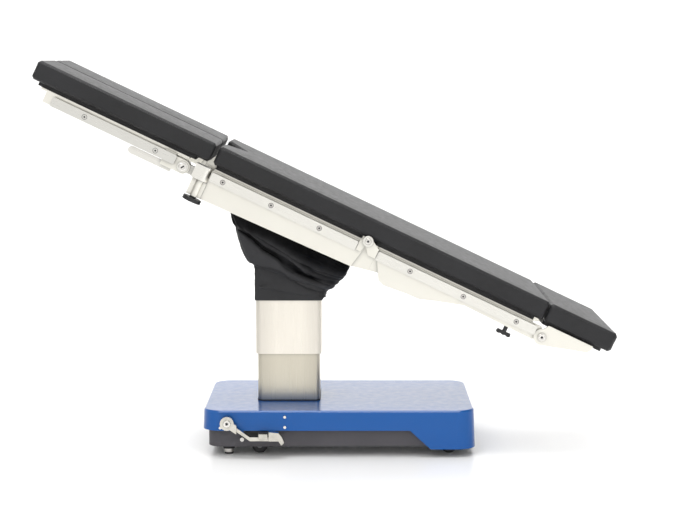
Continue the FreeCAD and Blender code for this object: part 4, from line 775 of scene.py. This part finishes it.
def drape():
    """The bellows as one open tube of cloth: rows of points from the hem to the rim."""
    profile = np.array(BELLOWS_PROFILE)
    steps = np.abs(np.diff(profile[:, :5], axis=0)).sum(axis=1)
    stops = np.concatenate(([0.0], np.cumsum(steps))) / steps.sum()
    rows = []
    for level in range(LEVELS + 1):
        values = [float(np.interp(level / LEVELS, stops, profile[:, k])) for k in range(6)]
        foot_x, foot_z, head_x, head_z, half_deep, corner = values
        tilt = math.atan2(foot_z - head_z, head_x - foot_x)
        middle = Vector(((foot_x + head_x) / 2, 0.0, (foot_z + head_z) / 2))
        half_long = math.hypot(head_x - foot_x, head_z - foot_z) / 2
        place = Matrix.Translation(middle) @ Matrix.Rotation(tilt, 4, "Y")
        rows.append([place @ p for p in ring_at(half_long, half_deep, corner, RING_POINTS)])
    return rows


def tube_mesh(rows, name):
    """A quad tube through rows of points."""
    shape = bmesh.new()
    skin(shape, [[shape.verts.new(point) for point in row] for row in rows])
    return from_bmesh(shape, name)


def refine(grid, axis):
    """Put a point between each two of a grid, on a smooth curve; axis 1 runs round the tube."""
    if axis:
        before, here, after, next_after = (np.roll(grid, shift, axis=1) for shift in (1, 0, -1, -2))
    else:
        ends = np.concatenate((grid[:1], grid, grid[-1:]))
        before, here, after, next_after = ends[:-3], ends[1:-2], ends[2:-1], ends[3:]
    between = (9 * (here + after) - before - next_after) / 16
    shape = list(grid.shape)
    shape[axis] += between.shape[axis]
    finer = np.empty(shape)
    if axis:
        finer[:, 0::2], finer[:, 1::2] = grid, between
    else:
        finer[0::2], finer[1::2] = grid, between
    return finer


# Folds over the long sides. Each line runs from foot to head as (x, z, strength); height above the
# line and its reach, then height below the line and its reach.
LEDGE = (
    (-0.240, 0.6080, 0.25), (-0.210, 0.5988, 1.0), (-0.180, 0.5975, 1.0), (-0.149, 0.5874, 1.0),
    (-0.121, 0.5621, 1.0), (-0.100, 0.5423, 0.9), (-0.067, 0.5241, 0.8), (-0.016, 0.5098, 0.5),
    (0.006, 0.5075, 0.4),
)
LOBE = (
    (-0.300, 0.7290, 0.2), (-0.291, 0.7238, 0.5), (-0.245, 0.6880, 1.0), (-0.210, 0.6522, 1.0),
    (-0.164, 0.6270, 0.9), (-0.135, 0.5946, 0.8), (-0.114, 0.5800, 0.8), (-0.058, 0.5563, 0.7),
    (-0.004, 0.5401, 0.3), (0.030, 0.5350, 0.1),
)
UPPER_FOLD = (
    (-0.280, 0.7450, 0.1), (-0.256, 0.7274, 0.6), (-0.195, 0.6771, 1.0), (-0.135, 0.6447, 1.0),
    (-0.078, 0.6017, 1.0), (-0.049, 0.5800, 1.0), (-0.007, 0.5621, 0.6), (0.029, 0.5602, 0.4),
)
MIDDLE_FOLD = (
    (-0.245, 0.7180, 0.1), (-0.220, 0.7093, 0.7), (-0.149, 0.6664, 1.0), (-0.092, 0.6270, 1.0),
    (-0.042, 0.6017, 0.9), (0.029, 0.5800, 0.6), (0.061, 0.5764, 0.3),
)
LOWER_FOLD = (
    (-0.185, 0.6330, 0.0), (-0.164, 0.6234, 0.8), (-0.135, 0.6017, 1.0), (-0.103, 0.5764, 1.0),
    (-0.078, 0.5586, 0.8), (-0.042, 0.5440, 0.8), (-0.007, 0.5297, 0.6), (0.020, 0.5260, 0.4),
)
SHORT_FOLD = ((-0.110, 0.6260, 0.0), (-0.092, 0.6120, 0.9), (-0.070, 0.5880, 1.0), (-0.052, 0.5700, 0.0))
HEAD_FOLD = ((-0.060, 0.6030, 0.0), (-0.030, 0.5900, 1.0), (0.000, 0.5790, 1.0), (0.050, 0.5690, 0.6))
HEAD_LOWER_FOLD = ((-0.050, 0.5610, 0.0), (-0.020, 0.5520, 1.0), (0.010, 0.5440, 1.0), (0.040, 0.5400, 0.7))
FOLDS = (
    (LEDGE, 0.0105, 0.022, -0.0030, 0.005),
    (LOBE, -0.0130, 0.009, -0.0120, 0.006),
    (UPPER_FOLD, 0.0095, 0.006, 0.0095, 0.009),
    (MIDDLE_FOLD, 0.0080, 0.008, 0.0080, 0.004),
    (LOWER_FOLD, 0.0085, 0.004, 0.0085, 0.007),
    (SHORT_FOLD, 0.0080, 0.003, 0.0080, 0.005),
    (HEAD_FOLD, 0.0075, 0.004, 0.0075, 0.006),
    (HEAD_LOWER_FOLD, 0.0075, 0.004, 0.0075, 0.006),
)
FOLD_SLOPE = 0.87
HEM_FADE = (0.0, 0.10)
RIM_FADE = (0.86, 0.97)
RIPPLE = 0.0011
RIPPLE_SCALES = (34.0, 80.0)
# The far side's folds sway a little, so that they don't mirror the near side's.
SWAY = 0.007
SWAY_RATE = 38.0
# The cloth's painted light and shade: a dark base everywhere, painted light below the lobe line, painted
# highlight and shade with a fold's height above and below that line, and painted shade in the ledge's
# crease.
# The lobe's edge is where the first turns into the second.
TONE_SHADE = 0.02
PAINTED_LIGHT_BELOW_LOBE = 0.84
PAINTED_FOLD_SHADING = (74.0, 20.0)
PAINTED_CREASE_SHADE = 0.55
CREASE_REACH = 0.0035
LOBE_EDGE = (-0.004, 0.008)


def press_folds(grid):
    """Press the folds into the hung cloth; returns the grid and the painted shading from shaded 0 to lit 1.
    """
    around = np.roll(grid, -1, axis=1) - np.roll(grid, 1, axis=1)
    upward = np.gradient(grid, axis=0)
    normal = np.cross(around, upward)
    normal /= np.maximum(np.linalg.norm(normal, axis=2), 1e-9)[:, :, None]
    x, y, z = grid[:, :, 0], grid[:, :, 1], grid[:, :, 2]
    far = np.where(y > 0, SWAY * np.sin(SWAY_RATE * x), 0.0)
    height = np.zeros(x.shape)
    for line, up, up_reach, down, down_reach in FOLDS:
        at_x, at_z, strength = (np.array(column) for column in zip(*line))
        above = (z + far - np.interp(x, at_x, at_z)) * FOLD_SLOPE
        shape = np.where(above > 0, up * np.exp(-above / up_reach), down * np.exp(above / down_reach))
        height += shape * np.interp(x, at_x, strength)
    broad, fine = RIPPLE_SCALES
    points = [Vector(p) for p in grid.reshape(-1, 3)]
    ripple = [noise.noise(p * broad) + 0.5 * noise.noise(p * fine) for p in points]
    share = np.linspace(0.0, 1.0, len(grid))[:, None]
    fade = np.interp(share, RIM_FADE, (1.0, 0.0)) * np.interp(share, HEM_FADE, (0.0, 1.0))
    height = (height + RIPPLE * np.array(ripple).reshape(x.shape)) * fade
    lobe_x, lobe_z, _ = (np.array(column) for column in zip(*LOBE))
    # Mask of the painted light below the lobe line.
    under_lobe = np.interp((np.interp(x, lobe_x, lobe_z) - z - far) * FOLD_SLOPE, LOBE_EDGE, (0.0, 1.0))
    ledge_x, ledge_z, strength = (np.array(column) for column in zip(*LEDGE))
    # Mask of the painted shade in the ledge's crease.
    from_ledge = np.abs(z + far - np.interp(x, ledge_x, ledge_z)) * FOLD_SLOPE
    crease = np.exp(-from_ledge / CREASE_REACH) * np.interp(x, ledge_x, strength)
    above_lobe, below_lobe = PAINTED_FOLD_SHADING
    by_height = np.where(under_lobe > 0.5, below_lobe, above_lobe)
    # Painted shading: dark above the lobe line, light below it, lighter on fold ridges and darker in the
    # ledge's crease.
    painted_shading = TONE_SHADE + PAINTED_LIGHT_BELOW_LOBE * under_lobe + height * by_height - PAINTED_CREASE_SHADE * crease
    return grid + normal * height[:, :, None], np.clip(painted_shading, 0.0, 1.0)


HEM_SHARE = 0.09
RIM_SHARE = 0.97
SPARE = -0.03
DRAPE_FRAMES = 26
CLOTH_CAP = 0.006
FOLD_CAP = 0.018
CLOTH_THICK = 0.0012
SPLIT_SHARE = 0.70
# Half the column cover's width and depth with a gap, and the height that the cover ends below.
COVER_HALF_X = 0.1092
COVER_HALF_Y = 0.1067
COVER_TOP = 0.60


def settle_cloth(thing):
    """Let gravity and spare cloth make the small creases, with hem and rim held."""
    held = thing.vertex_groups.new(name="held")
    for level in range(LEVELS + 1):
        if not HEM_SHARE <= level / LEVELS <= RIM_SHARE:
            held.add(list(range(level * RING_POINTS, (level + 1) * RING_POINTS)), 1.0, "REPLACE")
    simulate(
        thing, DRAPE_FRAMES, quality=6, mass=0.25, tension_stiffness=12, compression_stiffness=12,
        shear_stiffness=4, bending_stiffness=0.12, vertex_group_mass="held", shrink_min=SPARE,
    )


def keep_clear(points, start, cap):
    """Hold the cloth within reach of where it started and outside the column cover."""
    points = capped(start, points, cap)
    x = points[:, 0] - COLUMN_X
    y = points[:, 1]
    to_x = COVER_HALF_X - np.abs(x)
    to_y = COVER_HALF_Y - np.abs(y)
    inside = (points[:, 2] < COVER_TOP) & (to_x > 0) & (to_y > 0)
    push_x = inside & (to_x <= to_y)
    push_y = inside & ~push_x
    points[push_x, 0] = COLUMN_X + np.sign(x[push_x]) * COVER_HALF_X
    points[push_y, 1] = np.sign(y[push_y]) * COVER_HALF_Y
    return points


def bellows():
    """The bellows in two pieces that meet on the tilting cross."""
    whole = tube_mesh(drape(), "bellows_whole")
    start = coordinates(whole)
    settle_cloth(whole)
    points = keep_clear(coordinates(whole), start, CLOTH_CAP)
    bpy.data.objects.remove(whole)
    grid = refine(refine(points.reshape(LEVELS + 1, RING_POINTS, 3), 0), 1)
    folded, painted_shading = press_folds(grid)
    grid = keep_clear(folded.reshape(-1, 3), grid.reshape(-1, 3), FOLD_CAP).reshape(grid.shape)
    split = round(len(grid) * SPLIT_SHARE)
    seam = grid[split]
    run = Vector(seam[np.argmax(seam[:, 0])]) - Vector(seam[np.argmin(seam[:, 0])])
    upright = Vector((-run.z, 0.0, run.x)).normalized()
    reach = grid @ np.array(upright)
    parts = (
        ("bellows_lower", slice(0, split + 1), "column", "cross", reach[0].max(), reach[split].min()),
        ("bellows_upper", slice(split, None), "cross", "seat", reach[split].max(), reach[-1].min()),
    )
    for name, levels, first, second, start, end in parts:
        rows = grid[levels]
        piece = tube_mesh([[Vector(p) for p in row] for row in rows], name)
        # Each piece carries the painted light and shade as a point attribute.
        shade = piece.data.attributes.new("painted_shading", "FLOAT", "POINT")
        shade.data.foreach_set("value", painted_shading[levels].astype(np.float32).ravel())
        modify(piece, "SOLIDIFY", thickness=CLOTH_THICK, offset=-1)
        freeze(piece)
        smooth(piece)
        dress(piece, MATERIALS["bellows_cloth"])
        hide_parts("bellows")
        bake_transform(piece)


# Small hard details


def fasten(thing, material, body):
    """Dress a detail with a material and let it ride on a body."""
    dress(thing, MATERIALS[material])
    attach(thing, body)


def hexagon(radius):
    """The outline of a hex socket."""
    return [Vector((math.cos(math.pi / 3 * k), math.sin(math.pi / 3 * k))) * radius for k in range(6)]


def turned(name, profile, steps, matrix, material, body, slot=None):
    """A round piece turned about its own Z axis; profile gives (radius, height) pairs from its rim."""
    shape = bmesh.new()
    rings = []
    for radius, height in profile:
        angles = [2 * math.pi * k / steps for k in range(steps)]
        rings.append([shape.verts.new((radius * math.cos(a), radius * math.sin(a), height)) for a in angles])
    skin(shape, rings)
    shape.faces.new(rings[0])
    shape.faces.new(rings[-1])
    piece = from_bmesh(shape, name, matrix)
    for face in piece.data.polygons:
        face.use_smooth = len(face.vertices) == 4
    piece.data.set_sharp_from_angle(angle=math.radians(35))
    fasten(piece, material, body)


def facing(center, axis):
    """The place of a turned piece that faces along an axis."""
    turn = Vector((0, 0, 1)).rotation_difference(Vector(axis)).to_matrix().to_4x4()
    return Matrix.Translation(center) @ turn


SOCKET_TURN = 0.6


def socket_cap(name, center, axis, radius, proud, body, slotted=False):
    """A domed steel cap on a pivot's end, with a black hexagon or slot in its top as painted shade for its
    socket.
    """
    place = facing(center, axis)
    profile = (
        (radius, 0.0), (radius, proud * 0.55), (radius * 0.93, proud * 0.9), (radius * 0.8, proud),
        (radius * 0.50, proud), (radius * 0.46, proud * 0.85),
    )
    turned(name, profile, 40, place, "chromed_steel", body, "stainless")
    # Painted shade: a black piece in the cap's top stands for the hollow of its socket.
    reach = radius * 0.40
    if slotted:
        long, wide, corner = reach * 1.2, reach * 0.42, reach * 0.3
        ends = [(-long, -wide, corner), (long, -wide, corner), (long, wide, corner), (-long, wide, corner)]
        outline = rounded(ends, 3)
    else:
        outline = hexagon(reach)
    turn = place @ Matrix.Rotation(SOCKET_TURN, 4, "Z")
    recess = prism(outline, proud * 0.4, proud + 0.0001, name + "_recess", turn)
    fasten(recess, "black_plastic", body)


# Each rail's body and the places of its screws along the table top.
RAIL_SCREWS = {
    "seat": ("seat", (0.672, 0.838, 1.004)),
    "back": ("back", (1.318, 1.503, 1.688)),
    "leg": ("leg_{}", (0.201, 0.442)),
}
RAIL_MIDDLE = 0.099
RAIL_FACE = 0.280
# The black ring and hexagon that stand for the shade round a rail screw and in its socket.
GAP_RADIUS = 0.0078
GAP_WIDTH = 0.0005
SOCKET_RADIUS = 0.0031
SOCKET_DEPTH = (-0.0022, -0.0002)


def rail_screws():
    """Painted shade round each rail screw and in its socket: a thin black ring and a black hexagon."""
    circle = [Vector((GAP_RADIUS * math.cos(a / 5), GAP_RADIUS * math.sin(a / 5), 0)) for a in range(31)]
    for group, (body, places) in RAIL_SCREWS.items():
        for name, side in SIDES.items():
            carrier = body.format(name)
            for number, along_top in enumerate(places, 1):
                tag = "%s_screw_%s_%d" % (group, name, number)
                place = facing(on_table(along_top, RAIL_MIDDLE, RAIL_FACE * side), (0, side, 0))
                # Painted shade: a thin black ring where the screw head meets the rail.
                gap = tube_along([place @ point for point in circle], GAP_WIDTH, tag + "_gap")
                fasten(gap, "black_plastic", carrier)
                # Painted shade: a black hexagon for the socket's hollow.
                socket = prism(hexagon(SOCKET_RADIUS), *SOCKET_DEPTH, tag + "_socket", place)
                fasten(socket, "black_plastic", carrier)


# The grips' name, shift along the cross bar and half length.
GRIPS = (("foot", -0.0165, 0.0075), ("middle", 0.0, 0.0068), ("head", 0.0165, 0.0075))
GRIP_PLACE = (1.673, 0.1535, 0.238)
GRIP_LONG = 0.0085
GRIP_HIGH = 0.0062


def knob_grips():
    """Moulded grips over the cross bars of the head end's clamp screws."""
    tilt = Matrix.Rotation(TILT, 4, "Y")
    along_top, depth, aside = GRIP_PLACE
    for name, side in SIDES.items():
        for tag, shift, half in GRIPS:
            shape = bmesh.new()
            bmesh.ops.create_uvsphere(shape, u_segments=20, v_segments=12, radius=1.0)
            size = Matrix.Diagonal((GRIP_LONG, half, GRIP_HIGH, 1.0))
            place = Matrix.Translation(on_table(along_top + shift, depth, aside * side)) @ tilt @ size
            grip = from_bmesh(shape, "head_knob_grip_%s_%s" % (name, tag), place)
            smooth(grip)
            fasten(grip, "black_plastic", "head_knob_" + name)


BOSS = ((0.0168, 0.0), (0.0168, 0.0010), (0.0160, 0.0016), (0.0112, 0.0016), (0.0106, 0.0008))
# Each pivot's place along the top, depth and distance aside, its cap's radius and height, and its body.
PIVOTS = (
    ("back", (BACK_HINGE, 0.070, 0.2880), 0.0095, 0.0018, "back"),
    ("head", (1.784, 0.110, 0.2711), 0.0105, 0.0016, "head"),
    ("leg", (0.539, 0.109, 0.2751), 0.0125, 0.0018, "leg_block_{}"),
)


def pivot_caps():
    """Caps on the ends of the hinge pins and trunnions, both sides, over a boss on the back ones."""
    for name, side in SIDES.items():
        outward = (0, side, 0)
        for tag, (along_top, depth, aside), radius, proud, body in PIVOTS:
            center = on_table(along_top, depth, aside * side)
            if tag == "back":
                place = facing(center, outward)
                turned("back_pivot_boss_" + name, BOSS, 40, place, "along", body, "stainless")
            cap = "%s_pivot_cap_%s" % (tag, name)
            socket_cap(cap, center, outward, radius, proud, body.format(name), slotted=tag == "leg")


WHEEL_DISC = (
    (0.0165, 0.0), (0.0160, 0.0006), (0.0120, 0.0003), (0.0085, 0.0003), (0.0075, 0.0008), (0.0045, 0.0008),
)
CASTOR_X = {"foot": -0.235, "head": 0.374}
CASTOR_Y = 0.185
CASTOR_TRAIL = 0.015
WHEEL_RADIUS = 0.025
WHEEL_HALF = 0.0100


def wheel_caps():
    """Moulded discs on both faces of each castor wheel."""
    for end, x in CASTOR_X.items():
        for name, side in SIDES.items():
            tag = "%s_%s" % (end, name)
            for label, face in (("out", side), ("in", -side)):
                center = Vector((x + CASTOR_TRAIL, CASTOR_Y * side + WHEEL_HALF * face, WHEEL_RADIUS))
                turned("wheel_disc_%s_%s" % (tag, label), WHEEL_DISC, 32, facing(center, (0, face, 0)),
                       "black_plastic", "wheel_" + tag)


def rounded_block(name, low, high, radius, material, body):
    """A block with rounded edges."""
    shape = bmesh.new()
    bmesh.ops.create_cube(shape, size=1.0)
    low, high = Vector(low), Vector(high)
    bmesh.ops.scale(shape, vec=high - low, verts=shape.verts)
    bmesh.ops.translate(shape, vec=(low + high) / 2, verts=shape.verts)
    bmesh.ops.bevel(shape, geom=shape.edges[:], offset=radius, segments=3, affect="EDGES", profile=0.5)
    block = from_bmesh(shape, name)
    smooth(block)
    fasten(block, material, body)


RIBS = 5
RIB_START = -0.2180
RIB_PITCH = 0.0062
RIB_WIDTH = 0.0030
HUB_BOLT = (-0.319, -0.2850, 0.115)


def pedal_details():
    """The pedal's rubber tread with its ribs, a black block on the skirt as painted shade for the opening
    behind it, and the bolt in its hub.
    """
    tread_low, tread_high = (-0.2200, -0.2858, 0.0815), (-0.1900, -0.2588, 0.0845)
    rounded_block("tread_rubber", tread_low, tread_high, 0.0008, "black_rubber", "pedal")
    for number in range(RIBS):
        x = RIB_START + RIB_PITCH * number
        low, high = (x, -0.2852, 0.0840), (x + RIB_WIDTH, -0.2594, 0.0858)
        rounded_block("tread_rib_%d" % number, low, high, 0.0006, "black_rubber", "pedal")
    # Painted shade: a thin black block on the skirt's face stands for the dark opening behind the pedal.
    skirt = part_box("base_skirt")[0][1]
    low, high = (-0.2640, skirt - 0.0006, 0.0640), (-0.1840, skirt + 0.0010, 0.0860)
    rounded_block("pedal_opening_shade", low, high, 0.0004, "black_plastic", "root")
    socket_cap("pedal_hub_bolt", Vector(HUB_BOLT), (0, -1, 0), 0.0115, 0.0030, "pedal")


# Stage, light and camera


FLOOR_FRONT = -9.0
FLOOR_BACK = 5.0
FLOOR_HALF = 14.0
SWEEP = 4.0
SWEEP_STEPS = 12
WALL_TOP = 12.0
# The floor glows faintly where nothing shades it, within this reach.
GLOW = 0.12
GLOW_REACH = 0.45


def stage():
    """A pale floor that curves up behind the table."""
    shape = bmesh.new()
    profile = [(FLOOR_FRONT, 0.0), (FLOOR_BACK, 0.0)]
    for step in range(1, SWEEP_STEPS + 1):
        angle = math.pi / 2 * step / SWEEP_STEPS
        profile.append((FLOOR_BACK + SWEEP * math.sin(angle), SWEEP - SWEEP * math.cos(angle)))
    profile.append((FLOOR_BACK + SWEEP, WALL_TOP))
    rows = [[shape.verts.new((x, y, z)) for x in (-FLOOR_HALF, FLOOR_HALF)] for y, z in profile]
    for lower, upper in zip(rows, rows[1:]):
        shape.faces.new((lower[0], lower[1], upper[1], upper[0]))
    floor = from_bmesh(shape, "studio_floor")
    smooth(floor)
    shader = Shader("studio_white", (0.93, 0.93, 0.93), 0.22, Specular_IOR_Level=0.35)
    shader.vary_roughness(shader.noise(1.2), 0.20, 0.26)
    shader.set("Emission Color", (1.0, 1.0, 1.0, 1.0))
    open_floor = shader.node("ShaderNodeAmbientOcclusion", samples=8)
    open_floor.inputs["Distance"].default_value = GLOW_REACH
    glow = shader.ramp(open_floor.outputs["AO"], 0.35, 0.95, 0.0, GLOW)
    shader.join(glow, shader.principled.inputs["Emission Strength"])
    floor.data.materials.append(shader.material)


def area(name, place, target, size, power):
    """A soft light that faces a point."""
    light = bpy.data.lights.new(name, "AREA")
    light.shape = "RECTANGLE"
    light.size, light.size_y = size
    light.energy = power
    lamp = link(light, name)
    lamp.location = place
    lamp.rotation_euler = (Vector(target) - Vector(place)).to_track_quat("-Z", "Y").to_euler()


def surroundings():
    """White room light, a little darker towards the sides so that steel has shape."""
    world = bpy.data.worlds.new("studio")
    bpy.context.scene.world = world
    world.use_nodes = True
    tree = world.node_tree
    back = next(n for n in tree.nodes if n.type == "BACKGROUND")
    kinds = ("ShaderNodeTexCoord", "ShaderNodeSeparateXYZ", "ShaderNodeMath", "ShaderNodeMapRange")
    place, split, sideways, fade = (tree.nodes.new(kind) for kind in kinds)
    sideways.operation = "ABSOLUTE"
    fade.interpolation_type = "SMOOTHSTEP"
    for key, value in (("From Min", 0.35), ("From Max", 0.95), ("To Min", 1.0), ("To Max", 0.45)):
        fade.inputs[key].default_value = value
    for output, target in (
        (place.outputs["Generated"], split.inputs["Vector"]), (split.outputs["X"], sideways.inputs[0]),
        (sideways.outputs[0], fade.inputs["Value"]), (fade.outputs["Result"], back.inputs["Strength"]),
    ):
        tree.links.new(output, target)
    back.inputs["Color"].default_value = (1.0, 0.995, 0.985, 1.0)


# Key from the upper left front, fill from the right, a light above the top and a wash on the
# backdrop: name, place, target, size and power in watts.
LIGHTS = (
    ("key", (-2.6, -4.2, 4.4), (0.0, 0.0, 0.6), (3.0, 2.4), 60),
    ("fill", (3.6, -3.8, 2.2), (0.0, 0.0, 0.5), (2.4, 2.4), 20),
    ("top", (0.1, -0.85, 5.2), (0.0, -0.3, 0.6), (3.0, 1.3), 85),
    ("wash", (0.0, 2.2, 5.5), (0.0, 7.0, 2.0), (8.0, 2.0), 260),
)
FOCAL_LENGTH = 85
SENSOR_WIDTH = 36
CAMERA_PLACE = (0.0655, -5.380, 1.256)
LOOK_DOWN = 6.93


def camera():
    """The photograph's view, with a level horizon."""
    lens = bpy.data.cameras.new("view")
    lens.lens = FOCAL_LENGTH
    lens.sensor_width = SENSOR_WIDTH
    eye = link(lens, "view")
    eye.location = CAMERA_PLACE
    eye.rotation_euler = (math.radians(90 - LOOK_DOWN), 0, 0)
    bpy.context.scene.camera = eye


camera()
surroundings()
for values in LIGHTS:
    area(*values)
stage()
dress_nodes()
for name, side in SIDES.items():
    leg_pad(name, side)
mattress()
head_pad()
bellows()
pivot_caps()
wheel_caps()
rail_screws()
knob_grips()
pedal_details()
bpy.context.scene.view_settings.view_transform = "Standard"
